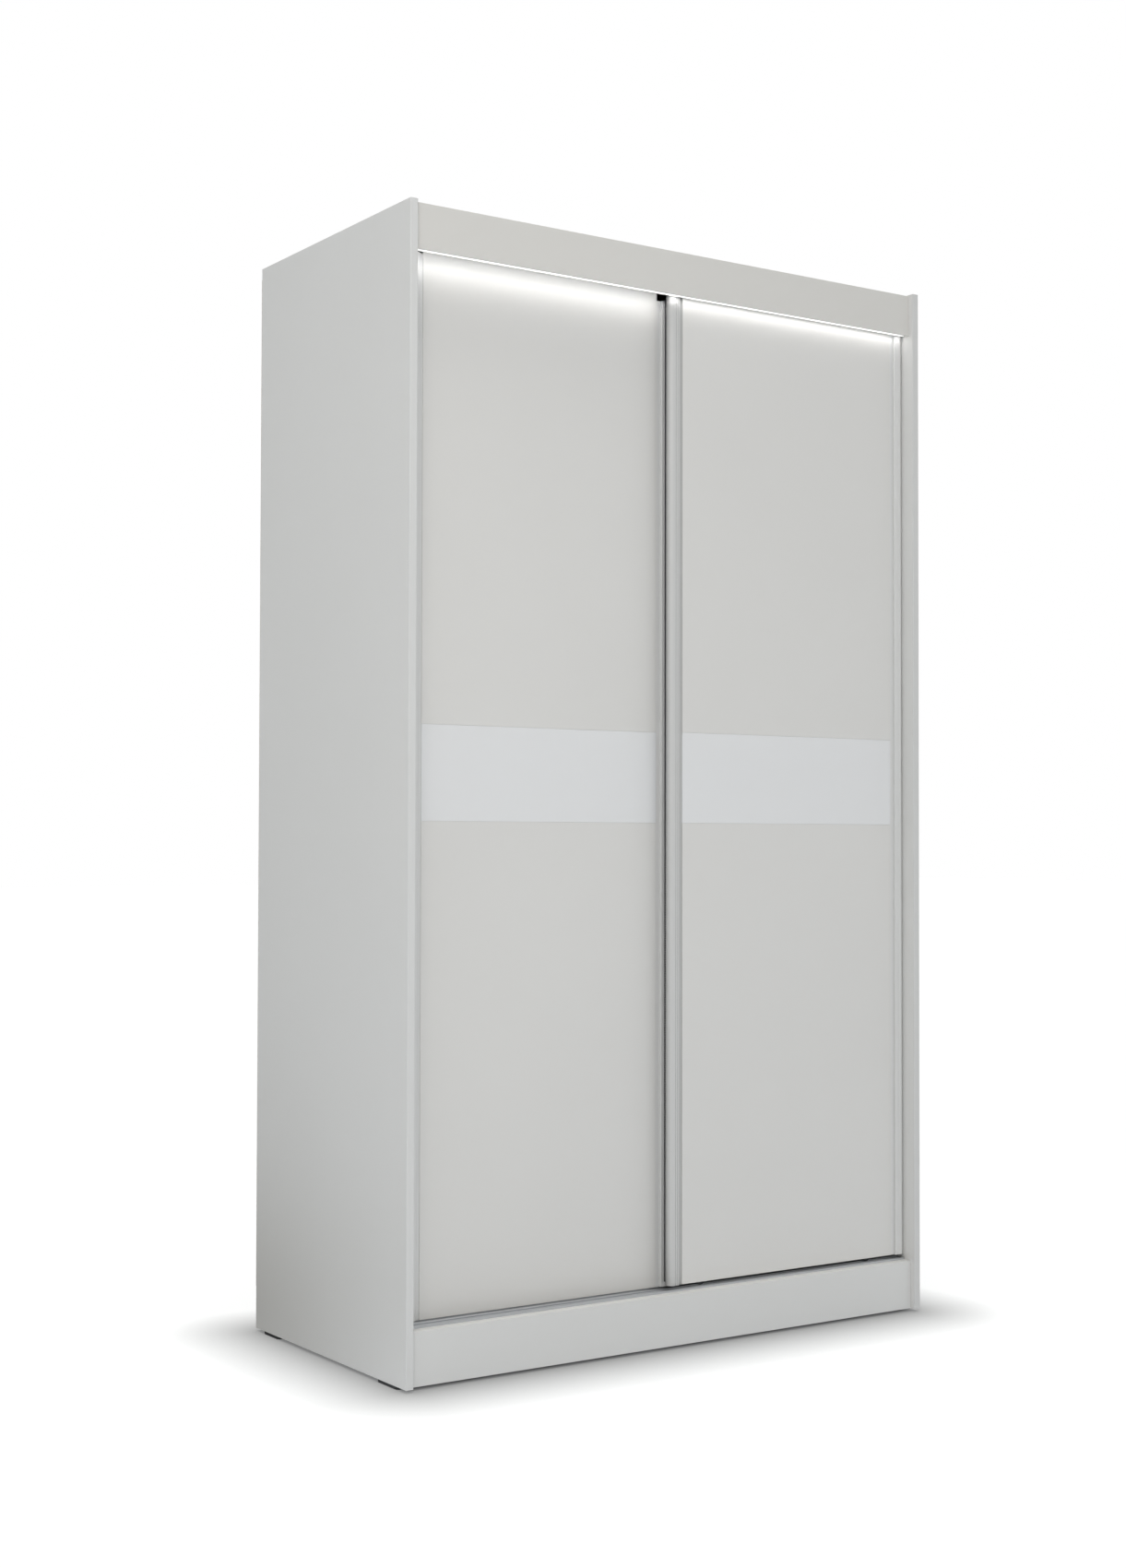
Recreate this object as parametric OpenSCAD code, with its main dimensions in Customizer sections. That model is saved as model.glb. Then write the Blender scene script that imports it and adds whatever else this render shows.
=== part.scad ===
// Two-door sliding wardrobe in white laminated board, with a glass strip across each door
// and a light line along the underside of the fascia.
// The origin is on the floor under the middle of the body. +Z is up, +X is to the right
// as seen from the front, and the doors face -Y. All sizes are in millimetres.

/* [Body] */
// Overall width over the side panels
body_w = 1250; // [1000:10:1600]
// Overall depth, front edging to back sheets
body_d = 610; // [500:10:740]
// Overall height from the floor to the top of the side panels
body_h = 2160; // [1800:10:2600]
// Thickness of the laminated boards
board_t = 16; // [13:0.5:22]
// Thickness of the hardboard back sheets
back_t = 3; // [2.5:0.5:5]
// Thickness of the plastic edging on the front of the side panels
edging_t = 2; // [1:0.5:3]
// Height of the plinth boards
plinth_h = 100; // [80:5:140]
// Height of the fascia board
fascia_h = 85.5; // [70:0.5:110]
// How far the fascia and the plinth stand behind the side panels' front edges
front_set = 12; // [4:1:20]
// How far the fascia's top edge lies below the tops of the side panels
fascia_drop = 2.5; // [0:0.5:10]
// How far the top panel's upper face lies below the tops of the side panels
top_drop = 22; // [20:1:40]
// Height of the glides under the body
glide_h = 6; // [3:1:12]

/* [Inside] */
// Number of shelves in the left bay
shelf_count = 4; // [4:4]
// How far shelves and partition stand behind the side panels' front edges
inner_set = 104; // [100:1:150]
// Drop of the hanging rail's centre below the right shelf
rail_drop = 60; // [40:5:120]
// Height of the oval rail tube
rail_h = 30; // [24:1:36]
// Width of the oval rail tube
rail_w = 15; // [12:1:20]
// Radius of the shelf pins
pin_r = 2.5; // [2:0.25:3]

/* [Doors] */
// How far one door laps over the other when both are closed
door_lap = 28; // [16:1:60]
// Gap between a closed door's outer edge and the side panel
side_gap = 1; // [0.5:0.5:4]
// Gap between the fascia's back and the front door's stile faces
face_gap = 2; // [1.5:0.5:5]
// Gap between the front door's hardware and the rear door's stile faces
pass_gap = 3; // [2:0.5:8]
// Thickness of the door panels
panel_t = 10; // [8:1:12]
// How far the panel's face lies behind the stile faces
panel_set = 4; // [2:0.5:6]
// Height of the left (rear) door's bottom edge above the bottom panel
left_door_lift = 5.5; // [5:0.5:14]
// Height of the right (front) door's bottom edge above the bottom panel
right_door_lift = 12; // [5:0.5:14]
// Gap between the door panel's top edge and the top track
panel_top_gap = 8; // [4:1:14]
// How much lower the stiles end than the panel
stile_drop = 10; // [0:1:14]
// How much lower the left door's inner stile ends than the panel
left_inner_drop = 22; // [0:1:30]
// Depth of a stile from front to back
stile_t = 20; // [16:1:24]
// Width of a stile's round-nosed bar
bar_w = 24; // [22:1:34]
// Width of the left door's outer bar
outer_bar_w = 39; // [26:1:45]
// Width of the sunk flange between bar and panel
groove_w = 10; // [6:1:14]
// How deep the sunk flange lies behind the bar's face
groove_set = 5.5; // [4.5:0.5:8]
// Wall thickness of the stile extrusion
stile_wall = 2; // [1.5:0.25:2.5]
// Height of the glass strip
glass_h = 180; // [80:10:400]
// Height of the glass strips' middle above the bottom panel
glass_mid_h = 1011; // [500:1:1300]
// Thickness of the glass strip
glass_t = 4; // [3:0.5:6]

/* [Tracks and hardware] */
// Inside width of each channel of the top track
channel_w = 20; // [18:1:26]
// Height of the top track
top_track_h = 22; // [18:1:28]
// Wall thickness of both tracks
track_t = 2; // [1.5:0.25:3]
// Height of the running rib above the bottom track's bed
rib_h = 3; // [2:0.5:4]
// Width of the running rib
rib_w = 3; // [2:0.5:4]
// Rolling radius of the door wheels at the bottom of their groove
wheel_r = 12; // [10:0.5:15]
// Radius of the wheel axles
axle_r = 3; // [2:0.25:4]
// Depth of the roller housings and of the top guides
housing_d = 16; // [14:0.5:20]
// Length of a top guide along the door
guide_l = 60; // [40:5:90]
// Distance from a door's outer edges to its top guides
guide_in = 16; // [10:1:40]
// Distance from a door's outer edges to its roller housings
housing_in = 50; // [48:1:120]

/* [Light] */
// Width of the aluminium light channel in the fascia
led_w = 9; // [8:0.5:10]
// Height of the light channel
led_h = 7; // [6:0.5:9]
// Length of the light's driver box
driver_l = 110; // [90:5:140]
// Depth of the driver box from front to back
driver_d = 44; // [36:2:60]
// Height of the driver box
driver_h = 15; // [12:1:17]

/* [Hidden] */
$fn = 48;
SHELVES = [for (i = [1:shelf_count]) str("left_shelf_", i)];
DOOR_PARTS = ["panel", "glass", "outer_stile", "inner_stile", "top_guides", "roller_housings",
    "axles", "screws", "outer_wheel", "inner_wheel"];
DOORS = [for (side = ["left", "right"]) for (p = DOOR_PARTS) str(side, "_door_", p)];

WHITE = [0.90, 0.90, 0.89];
GLASS = [0.95, 0.96, 0.96];
ALU = [0.72, 0.73, 0.74];
STEEL = [0.62, 0.63, 0.65];
HARDBOARD = [0.86, 0.85, 0.82];
NYLON = [0.25, 0.25, 0.26];
RUBBER = [0.12, 0.12, 0.12];
LIGHT = [1.00, 0.98, 0.92];

// Clearances
fit = 0.05; // running clearance between a wheel and its axle, on the radius
roll_gap = 0.3; // air between a wheel's groove and the rib it runs on
seat = 0.2; // clearance of a part that drops into a pocket
shelf_gap = 0.5; // air at each end of a shelf
guide_play = 2; // air between a top guide and each channel wall
buffer_gap = 0.5; // air between a closed door's guide and its buffer
eps = 0.5; // overrun of a cutting tool

// Carcass planes
half_w = body_w / 2;
inner_x = half_w - board_t;
front_y = -body_d / 2;
back_y = body_d / 2;
board_back_y = back_y - back_t;
panel_front_y = front_y + front_set + board_t;
plinth_top = glide_h + plinth_h;
bottom_z = plinth_top - board_t;
top_z1 = body_h - top_drop;
top_z0 = top_z1 - board_t;
fascia_z1 = body_h - fascia_drop;
fascia_z0 = fascia_z1 - fascia_h;
inner_y = front_y + inner_set;
half_t = board_t / 2;

// Shelves
shelf_clear = (top_z0 - plinth_top - shelf_count * board_t) / (shelf_count + 1);
function shelf_z(i) = plinth_top + i * shelf_clear + (i - 1) * board_t;
right_shelf_z = shelf_z(shelf_count);
shelf_set = 6; // how far a shelf stands behind the partition's front edge
shelf_y0 = inner_y + shelf_set;
shelf_y1 = board_back_y - 1;
pin_in = pin_r * 2.8; // depth of a pin's hole
pin_out = 8; // how far a pin stands out of the board
pin_ys = [shelf_y0 + 50, shelf_y1 - 50];

// Hanging rail, midway in the right bay
rail_z = right_shelf_z - rail_drop;
rail_y = (shelf_y0 + shelf_y1) / 2;
rail_plate_t = 3;
rail_cup_l = 14;
rail_cup_t = 2;
rail_plate_h = rail_h + 32; // room for a screw above and below the cup
rail_screw_z = (rail_plate_h - 12) / 2;

// Doors: hardware hangs on the panel's back, so it sets the pitch of the two doors
hardware_v = panel_set + panel_t + housing_d / 2;
door_pitch = max(stile_t, panel_set + panel_t + housing_d) + pass_gap;
face_y = panel_front_y + face_gap;
door_w = (2 * (inner_x - side_gap) + door_lap) / 2;
track_z0 = top_z0 - top_track_h;
panel_z1 = track_z0 - panel_top_gap;
stile_z1 = panel_z1 - stile_drop;
nose_r = stile_t / 2;
flange_l = 12; // how far a stile's rear flange reaches behind the panel
glass_z0 = plinth_top + glass_mid_h - glass_h / 2;

// Tracks
track_l = body_w - 2 * board_t - 1;
front_run_y = face_y + hardware_v;
rear_run_y = front_run_y + door_pitch;
track_y0 = panel_front_y + 2;
track_y1 = rear_run_y + channel_w / 2 + track_t;
between_y = (front_run_y + rear_run_y) / 2;
bed_z = plinth_top + track_t;
rib_z = bed_z + rib_h;
lip_h = 2; // height of the bottom track's edge lips
screw_xs = [for (i = [-1.5:1:1.5]) i * (body_w - 2 * board_t) / 4.4];
buffer_l = guide_in + side_gap - buffer_gap;

// Wheels
wheel_w = 8;
flange_h = 2.2; // height of a wheel's rims over its groove
wheel_z = rib_z + roll_gap + wheel_r;
housing_l = 2 * (wheel_r + flange_h) + 24;
plate_t = (housing_d - wheel_w) / 2 - 1; // cheeks of a housing, 1 mm clear of the wheel
housing_z0 = rib_z + 4;
housing_z1 = wheel_z + wheel_r + 26;
housing_screw_x = housing_l / 2 - 6;

// Joints in the carcass
cam_r = 7.5;
cam_h = 12;
cam_in = 34; // from a panel's end to the cam's axis
bolt_r = 3;
bolt_in = 10;
cam_ys = [inner_y + 40, board_back_y - 60];
nail_step = 240;

// Light
slot_y = front_y + front_set + half_t;
led_end = 10; // from the fascia's end to the end of the light channel
led_wall = 1;
strip_t = 1.2;
lens_t = 1.6;
lens_out = 0.8; // how far the diffuser stands out of the channel
lead_r = 1.4;
lead_x = inner_x - led_end / 2;
driver_x = inner_x - 190;
driver_y0 = panel_front_y + 90;
driver_mid_y = driver_y0 + driver_d / 2;
inlet_w = 18; // mains inlet in the driver's left end
inlet_h = 9;
inlet_d = 12;

// Wall brackets
bracket_x = 450; // from the middle of the body to each bracket
bracket_w = 40;
bracket_t = 2;
bracket_l = 40;
bracket_h = top_drop - 4;
wall_hole_r = 2.75;
wall_hole_z = top_z1 + bracket_h / 2 + 2;
screw_r = 1.8;
head_r = 3.5;
head_h = 1.9;

// A block between two corners
module block(a, b) {
    translate(a) cube([b[0] - a[0], b[1] - a[1], b[2] - a[2]]);
}

// A cylinder along +X, +Y or -Y from a point
module rod_x(p, r, l) {
    translate(p) rotate([0, 90, 0]) cylinder(r = r, h = l);
}
module rod_y(p, r, l) {
    translate(p) rotate([-90, 0, 0]) cylinder(r = r, h = l);
}

// A tube swept along a route of points, with one ring of corners at each point
tube_sides = 8;
function unit(v) = v / norm(v);
function heading(p, i) = i == 0 ? unit(p[1] - p[0])
    : i == len(p) - 1 ? unit(p[i] - p[i - 1])
    : unit(unit(p[i] - p[i - 1]) + unit(p[i + 1] - p[i]));
function ring(p, i, r) =
    let (t = heading(p, i), a = unit(cross(t, [1, 1, 1])), b = cross(t, a))
    [for (k = [0:tube_sides - 1]) p[i] + r * (cos(360 * k / tube_sides) * a + sin(360 * k / tube_sides) * b)];
function wall(i, k) =
    let (n = tube_sides, j = (k + 1) % n, a = i * n + k, b = i * n + j)
    [[a, a + n, b + n], [a, b + n, b]];

module tube(p, r) {
    n = tube_sides;
    last = len(p) - 1;
    polyhedron(points = [for (i = [0:last]) each ring(p, i, r)],
        faces = concat([[for (k = [0:n - 1]) k]], [[for (k = [n - 1:-1:0]) last * n + k]],
            [for (i = [0:last - 1]) for (k = [0:n - 1]) each wall(i, k)]));
}

// A countersunk wood screw whose head is level with the origin and whose point is at -Z
module wood_screw(l, r = screw_r) {
    translate([0, 0, -l]) cylinder(r1 = r / 3, r2 = r, h = 2 * r);
    translate([0, 0, 2 * r - l]) cylinder(r = r, h = l - 2 * r - head_h);
    difference() {
        translate([0, 0, -head_h]) cylinder(r1 = r, r2 = head_r, h = head_h);
        for (a = [0, 90]) rotate(a) translate([-1.6, -0.4, -1]) cube([3.2, 0.8, 1 + eps]);
    }
}

// The hole that a countersunk screw passes through, from the same origin
module screw_hole(l, r = screw_r) {
    translate([0, 0, -l]) cylinder(r = r + fit, h = l + eps);
    translate([0, 0, -head_h]) cylinder(r1 = r + fit, r2 = head_r + fit, h = head_h + 0.01);
    cylinder(r = head_r + fit, h = eps);
}

// Blind holes for shelf pins in a board's face at x, going towards dir
module pin_holes(x, dir, shelves) {
    for (i = shelves) for (y = pin_ys)
        rod_x([dir > 0 ? x - eps : x - pin_in, y, shelf_z(i) - pin_r], pin_r, pin_in + eps);
}

// Blind holes for the cam bolts in a side panel whose inner face is at x
module bolt_holes(x, dir) {
    for (z = [bottom_z + half_t, top_z0 + half_t]) for (y = cam_ys)
        rod_x([dir > 0 ? x - eps : x - bolt_in, y, z], bolt_r, bolt_in + eps);
}

// Cam pockets and bolt bores in a horizontal panel; the cams sit in the face at z
module cam_pockets(z, up) {
    for (s = [-1, 1]) for (y = cam_ys) {
        translate([s * (inner_x - cam_in), y, up ? z - cam_h : z - eps])
            cylinder(r = cam_r, h = cam_h + eps);
        rod_x([s > 0 ? inner_x - cam_in : -inner_x - eps, y, up ? z - half_t : z + half_t],
            bolt_r + seat, cam_in + eps);
    }
}

// Side panels and their edgings
module side_panel(s) {
    color(WHITE) difference() {
        block([s > 0 ? inner_x : -half_w, front_y + edging_t, glide_h],
            [s > 0 ? half_w : -inner_x, board_back_y, body_h]);
        bolt_holes(s * inner_x, s);
        pin_holes(s * inner_x, s, s > 0 ? [shelf_count] : [1:shelf_count]);
        if (s > 0) rail_screw_holes(inner_x, 1);
    }
}

module edging(s) {
    round_r = edging_t * 0.75;
    color(WHITE) translate([s > 0 ? inner_x : -half_w, front_y, glide_h])
        linear_extrude(body_h - glide_h) intersection() {
            square([board_t, edging_t]);
            union() {
                translate([0, round_r]) square([board_t, edging_t]);
                translate([round_r, 0]) square([board_t - 2 * round_r, edging_t]);
                for (x = [round_r, board_t - round_r]) translate([x, round_r]) circle(round_r);
            }
        }
}

// Horizontal panels
module top_panel() {
    color(WHITE) difference() {
        block([-inner_x, panel_front_y, top_z0], [inner_x, board_back_y, top_z1]);
        cam_pockets(top_z1, true);
        partition_screw_seats() screw_hole(board_t + eps, bolt_r);
    }
}

module bottom_panel() {
    color(WHITE) difference() {
        block([-inner_x, panel_front_y, bottom_z], [inner_x, board_back_y, plinth_top]);
        cam_pockets(bottom_z, false);
    }
}

module centre_partition() {
    color(WHITE) difference() {
        block([-half_t, inner_y, plinth_top], [half_t, board_back_y, top_z0]);
        pin_holes(-half_t, 1, [1:shelf_count]);
        pin_holes(half_t, -1, [shelf_count]);
        rail_screw_holes(half_t, -1);
        partition_screw_seats() screw_hole(50, bolt_r);
    }
}

module shelf(i) {
    color(WHITE) block([-inner_x + shelf_gap, shelf_y0, shelf_z(i)],
        [-half_t - shelf_gap, shelf_y1, shelf_z(i) + board_t]);
}

module right_shelf() {
    color(WHITE) block([half_t + shelf_gap, shelf_y0, right_shelf_z],
        [inner_x - shelf_gap, shelf_y1, right_shelf_z + board_t]);
}

// Round-ended steel pins under the shelves
module shelf_pin(x, dir, i, y) {
    z = shelf_z(i) - pin_r;
    rod_x([dir > 0 ? x - pin_in : x - pin_out + pin_r, y, z], pin_r, pin_in + pin_out - pin_r);
    translate([x + dir * (pin_out - pin_r), y, z]) sphere(r = pin_r);
}

module shelf_pins() {
    color(STEEL) for (y = pin_ys) {
        for (i = [1:shelf_count]) {
            shelf_pin(-inner_x, 1, i, y);
            shelf_pin(-half_t, -1, i, y);
        }
        shelf_pin(half_t, 1, shelf_count, y);
        shelf_pin(inner_x, -1, shelf_count, y);
    }
}

// Two back sheets that meet on the partition, and the nails that hold them
module nail_places(s) {
    rows = floor((top_z1 - bottom_z - 60) / nail_step);
    step = (top_z1 - bottom_z - 60) / rows;
    for (i = [0:rows]) for (x = [half_t / 2, half_w - half_t])
        translate([s * x, back_y, bottom_z + 30 + i * step]) rotate([-90, 0, 0]) children();
    for (z = [bottom_z + half_t, top_z1 - half_t]) for (f = [0.25, 0.5, 0.75])
        translate([s * f * inner_x, back_y, z]) rotate([-90, 0, 0]) children();
}

module nail() {
    translate([0, 0, -0.8]) cylinder(r = 2.4, h = 0.8);
    translate([0, 0, -18]) cylinder(r = 0.9, h = 18);
}

module back_panel(s) {
    color(HARDBOARD) difference() {
        block([s > 0 ? 0.5 : 1 - half_w, board_back_y, bottom_z],
            [s > 0 ? half_w - 1 : -0.5, back_y, top_z1]);
        nail_places(s) {
            translate([0, 0, -0.8]) cylinder(r = 2.4, h = 0.8 + eps);
            translate([0, 0, -back_t - eps]) cylinder(r = 0.9, h = back_t + eps);
        }
    }
}

module back_nails() {
    color(STEEL) for (s = [-1, 1]) nail_places(s) nail();
}

// Base frame
module front_plinth() {
    color(WHITE) block([-inner_x, front_y + front_set, glide_h], [inner_x, panel_front_y, plinth_top]);
}

module rear_plinth() {
    color(WHITE) block([-inner_x, board_back_y - 40 - board_t, glide_h],
        [inner_x, board_back_y - 40, bottom_z]);
}

module base_stretcher() {
    color(WHITE) block([-half_t, panel_front_y, glide_h], [half_t, board_back_y - 40 - board_t, bottom_z]);
}

// Flat glides under the side panels and the base stretcher
module glide(x, y0, l) {
    r = (board_t - 2) / 2;
    translate([x, y0, 0]) linear_extrude(glide_h) {
        for (y = [r, l - r]) translate([0, y]) circle(r);
        translate([-r, r]) square([2 * r, l - 2 * r]);
    }
}

module glides() {
    color(RUBBER) for (s = [-1, 1]) {
        glide(s * (half_w - half_t), front_y + 34, 75);
        glide(s * (half_w - half_t), back_y - 100, 65);
    }
    color(RUBBER) glide(0, panel_front_y + 30, 75);
    color(RUBBER) glide(0, board_back_y - 150, 65);
}

// Fascia, with the slot for the light channel and the chase for its lead
module fascia() {
    color(WHITE) difference() {
        block([-inner_x, front_y + front_set, fascia_z0], [inner_x, panel_front_y, fascia_z1]);
        block([-inner_x - eps, slot_y - led_w / 2, fascia_z0 - eps],
            [inner_x + eps, slot_y + led_w / 2, fascia_z0 + led_h]);
        block([lead_x - 2.5, slot_y, fascia_z0 - eps],
            [lead_x + 2.5, panel_front_y + eps, crest_z + lead_r + 2]);
    }
}

// Light channel, strip and diffuser
module led_channel() {
    color(ALU) difference() {
        block([-inner_x + led_end, slot_y - led_w / 2, fascia_z0],
            [inner_x - led_end, slot_y + led_w / 2, fascia_z0 + led_h]);
        block([-inner_x, slot_y - led_w / 2 + led_wall, fascia_z0 - eps],
            [inner_x, slot_y + led_w / 2 - led_wall, fascia_z0 + led_h - led_wall]);
    }
}

module led_strip() {
    half = led_w / 2 - led_wall - seat;
    color(LIGHT) block([-inner_x + led_end + 2, slot_y - half, fascia_z0 + led_h - led_wall - strip_t],
        [inner_x - led_end - 2, slot_y + half, fascia_z0 + led_h - led_wall]);
}

module led_diffuser() {
    half = led_w / 2 - led_wall;
    color(LIGHT) block([-inner_x + led_end, slot_y - half, fascia_z0 - lens_out],
        [inner_x - led_end, slot_y + half, fascia_z0 - lens_out + lens_t]);
}

// Low-voltage lead: out of the light channel, up the chase, over the top panel to the driver
lead_z = fascia_z0 + led_h - led_wall - strip_t - lead_r;
lead_y = panel_front_y - lead_r - 0.6;
over_z = top_z1 + lead_r;
crest_z = top_z1 + 4.5;
entry_z = top_z1 + driver_h / 2;
driver_end_x = driver_x + driver_l / 2;
lead_route = [
    [inner_x - led_end - 8, slot_y, lead_z],
    [lead_x - 4, slot_y, lead_z],
    [lead_x - 1, slot_y + 0.5, lead_z + 1.5],
    [lead_x, slot_y + 2.5, lead_z + 5],
    [lead_x, lead_y, lead_z + 12],
    [lead_x, lead_y, top_z1 + 1],
    [lead_x, lead_y + 1.5, crest_z - 0.7],
    [lead_x, lead_y + 5, crest_z],
    [lead_x, lead_y + 14, over_z],
    [lead_x, driver_mid_y - 20, over_z],
    [lead_x - 4, driver_mid_y - 6, over_z],
    [lead_x - 14, driver_mid_y, over_z],
    [driver_end_x + 30, driver_mid_y, over_z],
    [driver_end_x + 14, driver_mid_y, entry_z],
    [driver_end_x, driver_mid_y, entry_z],
];

module led_lead() {
    color("white") tube(lead_route, lead_r);
}

module lead_clips() {
    clip_h = 2 * lead_r + 1.4;
    color("white") for (y = [panel_front_y + 20, driver_y0 - 20]) difference() {
        block([lead_x - 4.5, y, top_z1], [lead_x + 4.5, y + 6, top_z1 + clip_h]);
        rod_y([lead_x, y - eps, over_z], lead_r, 6 + 2 * eps);
        block([lead_x - lead_r, y - eps, top_z1 - eps], [lead_x + lead_r, y + 6 + eps, over_z]);
    }
}

module led_driver() {
    a = [driver_x - driver_l / 2, driver_y0, top_z1];
    color("white") difference() {
        block(a, [driver_end_x, driver_y0 + driver_d, top_z1 + driver_h]);
        block([a[0] - eps, driver_mid_y - inlet_w / 2, top_z1 + (driver_h - inlet_h) / 2],
            [a[0] + inlet_d, driver_mid_y + inlet_w / 2, top_z1 + (driver_h + inlet_h) / 2]);
    }
}

// Carcass joints: cams in the panels, bolts in the side panels
module cam_locks() {
    color(STEEL) for (s = [-1, 1]) for (y = cam_ys) {
        translate([s * (inner_x - cam_in), y, top_z1 - cam_h]) cam();
        translate([s * (inner_x - cam_in), y, bottom_z + cam_h]) rotate([180, 0, 0]) cam();
    }
}

module cam() {
    difference() {
        cylinder(r = cam_r - seat, h = cam_h);
        for (a = [45, 135]) rotate(a) translate([-4, -0.7, cam_h - 2]) cube([8, 1.4, 2 + eps]);
    }
}

module cam_bolts() {
    reach = cam_in - cam_r;
    color(STEEL) for (s = [-1, 1]) for (y = cam_ys) for (z = [bottom_z + half_t, top_z0 + half_t])
        rod_x([s > 0 ? inner_x - reach : -inner_x - bolt_in, y, z], bolt_r, reach + bolt_in);
}

// Long screws that hold the partition, through the top panel
module partition_screw_seats() {
    for (y = [inner_y + 60, board_back_y - 80]) translate([0, y, top_z1]) children();
}

module partition_screws() {
    color(STEEL) partition_screw_seats() wood_screw(48, bolt_r);
}

// Hanging rail in its cups
module oval(h, w) {
    for (z = [-1, 1]) translate([z * (h - w) / 2, 0]) circle(w / 2);
    square([h - w, w], center = true);
}

module oval_rod(x, h, w, l) {
    translate([x, rail_y, rail_z]) rotate([0, 90, 0]) linear_extrude(l) oval(h, w);
}

module hanging_rail() {
    x0 = half_t + rail_plate_t + 1;
    l = inner_x - half_t - 2 * (rail_plate_t + 1);
    color(STEEL) difference() {
        oval_rod(x0, rail_h, rail_w, l);
        oval_rod(x0 - eps, rail_h - 2, rail_w - 2, l + 2 * eps);
    }
}

module rail_bracket() {
    difference() {
        union() {
            linear_extrude(rail_plate_t) oval(rail_plate_h, rail_w + 2 * rail_cup_t + 4);
            linear_extrude(rail_plate_t + rail_cup_l) oval(rail_h + 2 * rail_cup_t, rail_w + 2 * rail_cup_t);
        }
        translate([0, 0, rail_plate_t]) linear_extrude(rail_cup_l + eps)
            oval(rail_h + 2 * seat, rail_w + 2 * seat);
        for (z = [-1, 1]) translate([z * rail_screw_z, 0, rail_plate_t]) screw_hole(rail_plate_t + eps);
    }
}

module rail_brackets() {
    color(STEEL) translate([half_t, rail_y, rail_z]) rotate([0, 90, 0]) rail_bracket();
    color(STEEL) translate([inner_x, rail_y, rail_z]) rotate([0, -90, 0]) rail_bracket();
}

// Pilot holes of the rail's screws in a board whose face is at x, going towards dir
module rail_screw_holes(x, dir) {
    for (z = [-1, 1]) rod_x([dir > 0 ? x - eps : x - pin_in - 4, rail_y, rail_z + z * rail_screw_z],
        screw_r, pin_in + 4 + eps);
}

// Top track: two channels side by side, closed above
module top_track_section() {
    difference() {
        translate([track_y0, 0]) square([track_y1 - track_y0, track_t]);
        translate([between_y - 0.4, track_t - 0.6]) square([0.8, 1]);
    }
    for (run = [front_run_y, rear_run_y]) for (s = [-1, 1])
        translate([run + s * (channel_w + track_t) / 2 - track_t / 2, 0])
            square([track_t, top_track_h]);
}

module top_track() {
    color(ALU) difference() {
        translate([-track_l / 2, 0, top_z0]) rotate([90, 0, 90]) mirror([0, 1])
            linear_extrude(track_l) top_track_section();
        for (x = screw_xs) translate([x, between_y, top_z0 - track_t])
            rotate([180, 0, 0]) screw_hole(track_t + eps);
    }
}

// Bottom track: a bed with two running ribs, edge lips and a middle ridge
module bottom_track_section() {
    translate([track_y0, 0]) square([track_y1 - track_y0, track_t]);
    for (run = [front_run_y, rear_run_y]) {
        translate([run - rib_w / 2, 0]) square([rib_w, track_t + rib_h - rib_w / 2]);
        translate([run, track_t + rib_h - rib_w / 2]) circle(rib_w / 2);
    }
    for (y = [track_y0, track_y1 - track_t]) translate([y, 0]) square([track_t, track_t + lip_h]);
    translate([between_y + 5, 0]) square([track_t, track_t + lip_h]);
}

bed_screw_ys = [front_run_y - channel_w / 2 - 4, between_y - 1];

module bottom_track() {
    color(ALU) difference() {
        translate([-track_l / 2, 0, plinth_top]) rotate([90, 0, 90])
            linear_extrude(track_l) bottom_track_section();
        for (x = screw_xs) for (y = bed_screw_ys)
            translate([x, y, bed_z]) screw_hole(track_t + eps);
    }
}

module track_screws() {
    color(STEEL) for (x = screw_xs) {
        translate([x, between_y, top_z0 - track_t]) rotate([180, 0, 0]) wood_screw(13);
        for (y = bed_screw_ys) translate([x, y, bed_z]) wood_screw(13);
    }
}

module track_buffers() {
    color(RUBBER) for (s = [-1, 1]) for (run = [front_run_y, rear_run_y])
        block([s > 0 ? inner_x - buffer_l : -inner_x, run - channel_w / 2 + guide_play, track_z0 + 3],
            [s > 0 ? inner_x : buffer_l - inner_x, run + channel_w / 2 - guide_play, top_z0 - track_t]);
}

// Wall brackets on the top panel, over the back sheets
module wall_bracket() {
    difference() {
        union() {
            block([-bracket_w / 2, -bracket_l, 0], [bracket_w / 2, 0, bracket_t]);
            block([-bracket_w / 2, -bracket_t, 0], [bracket_w / 2, 0, bracket_h]);
        }
        rod_y([0, -bracket_t - eps, wall_hole_z - top_z1], wall_hole_r, bracket_t + 2 * eps);
        for (x = [-1, 1]) translate([x * bracket_w / 4, -bracket_l / 2, bracket_t])
            screw_hole(bracket_t + eps);
    }
}

module wall_brackets() {
    color(STEEL) for (s = [-1, 1]) translate([s * bracket_x, back_y, top_z1]) wall_bracket();
}

module bracket_screws() {
    color(STEEL) {
        for (s = [-1, 1]) for (x = [-1, 1])
            translate([s * bracket_x + x * bracket_w / 4, back_y - bracket_l / 2, top_z1 + bracket_t])
                wood_screw(13);
        for (z = [-1, 1]) {
            translate([half_t + rail_plate_t, rail_y, rail_z + z * rail_screw_z])
                rotate([0, 90, 0]) wood_screw(12);
            translate([inner_x - rail_plate_t, rail_y, rail_z + z * rail_screw_z])
                rotate([0, -90, 0]) wood_screw(12);
        }
    }
}

// Doors. A door is drawn in its own plan frame: u runs from its outer edge towards the
// middle of the wardrobe, v from its stile faces towards the back. The left door runs in
// the rear track and the right door in the front one.
function is_left(side) = side == "left";
function outer_bar(side) = is_left(side) ? outer_bar_w : bar_w;
function door_z0(side) = plinth_top + (is_left(side) ? left_door_lift : right_door_lift);
function stile_top(side, outer) = is_left(side) && !outer ? panel_z1 - left_inner_drop : stile_z1;

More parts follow.
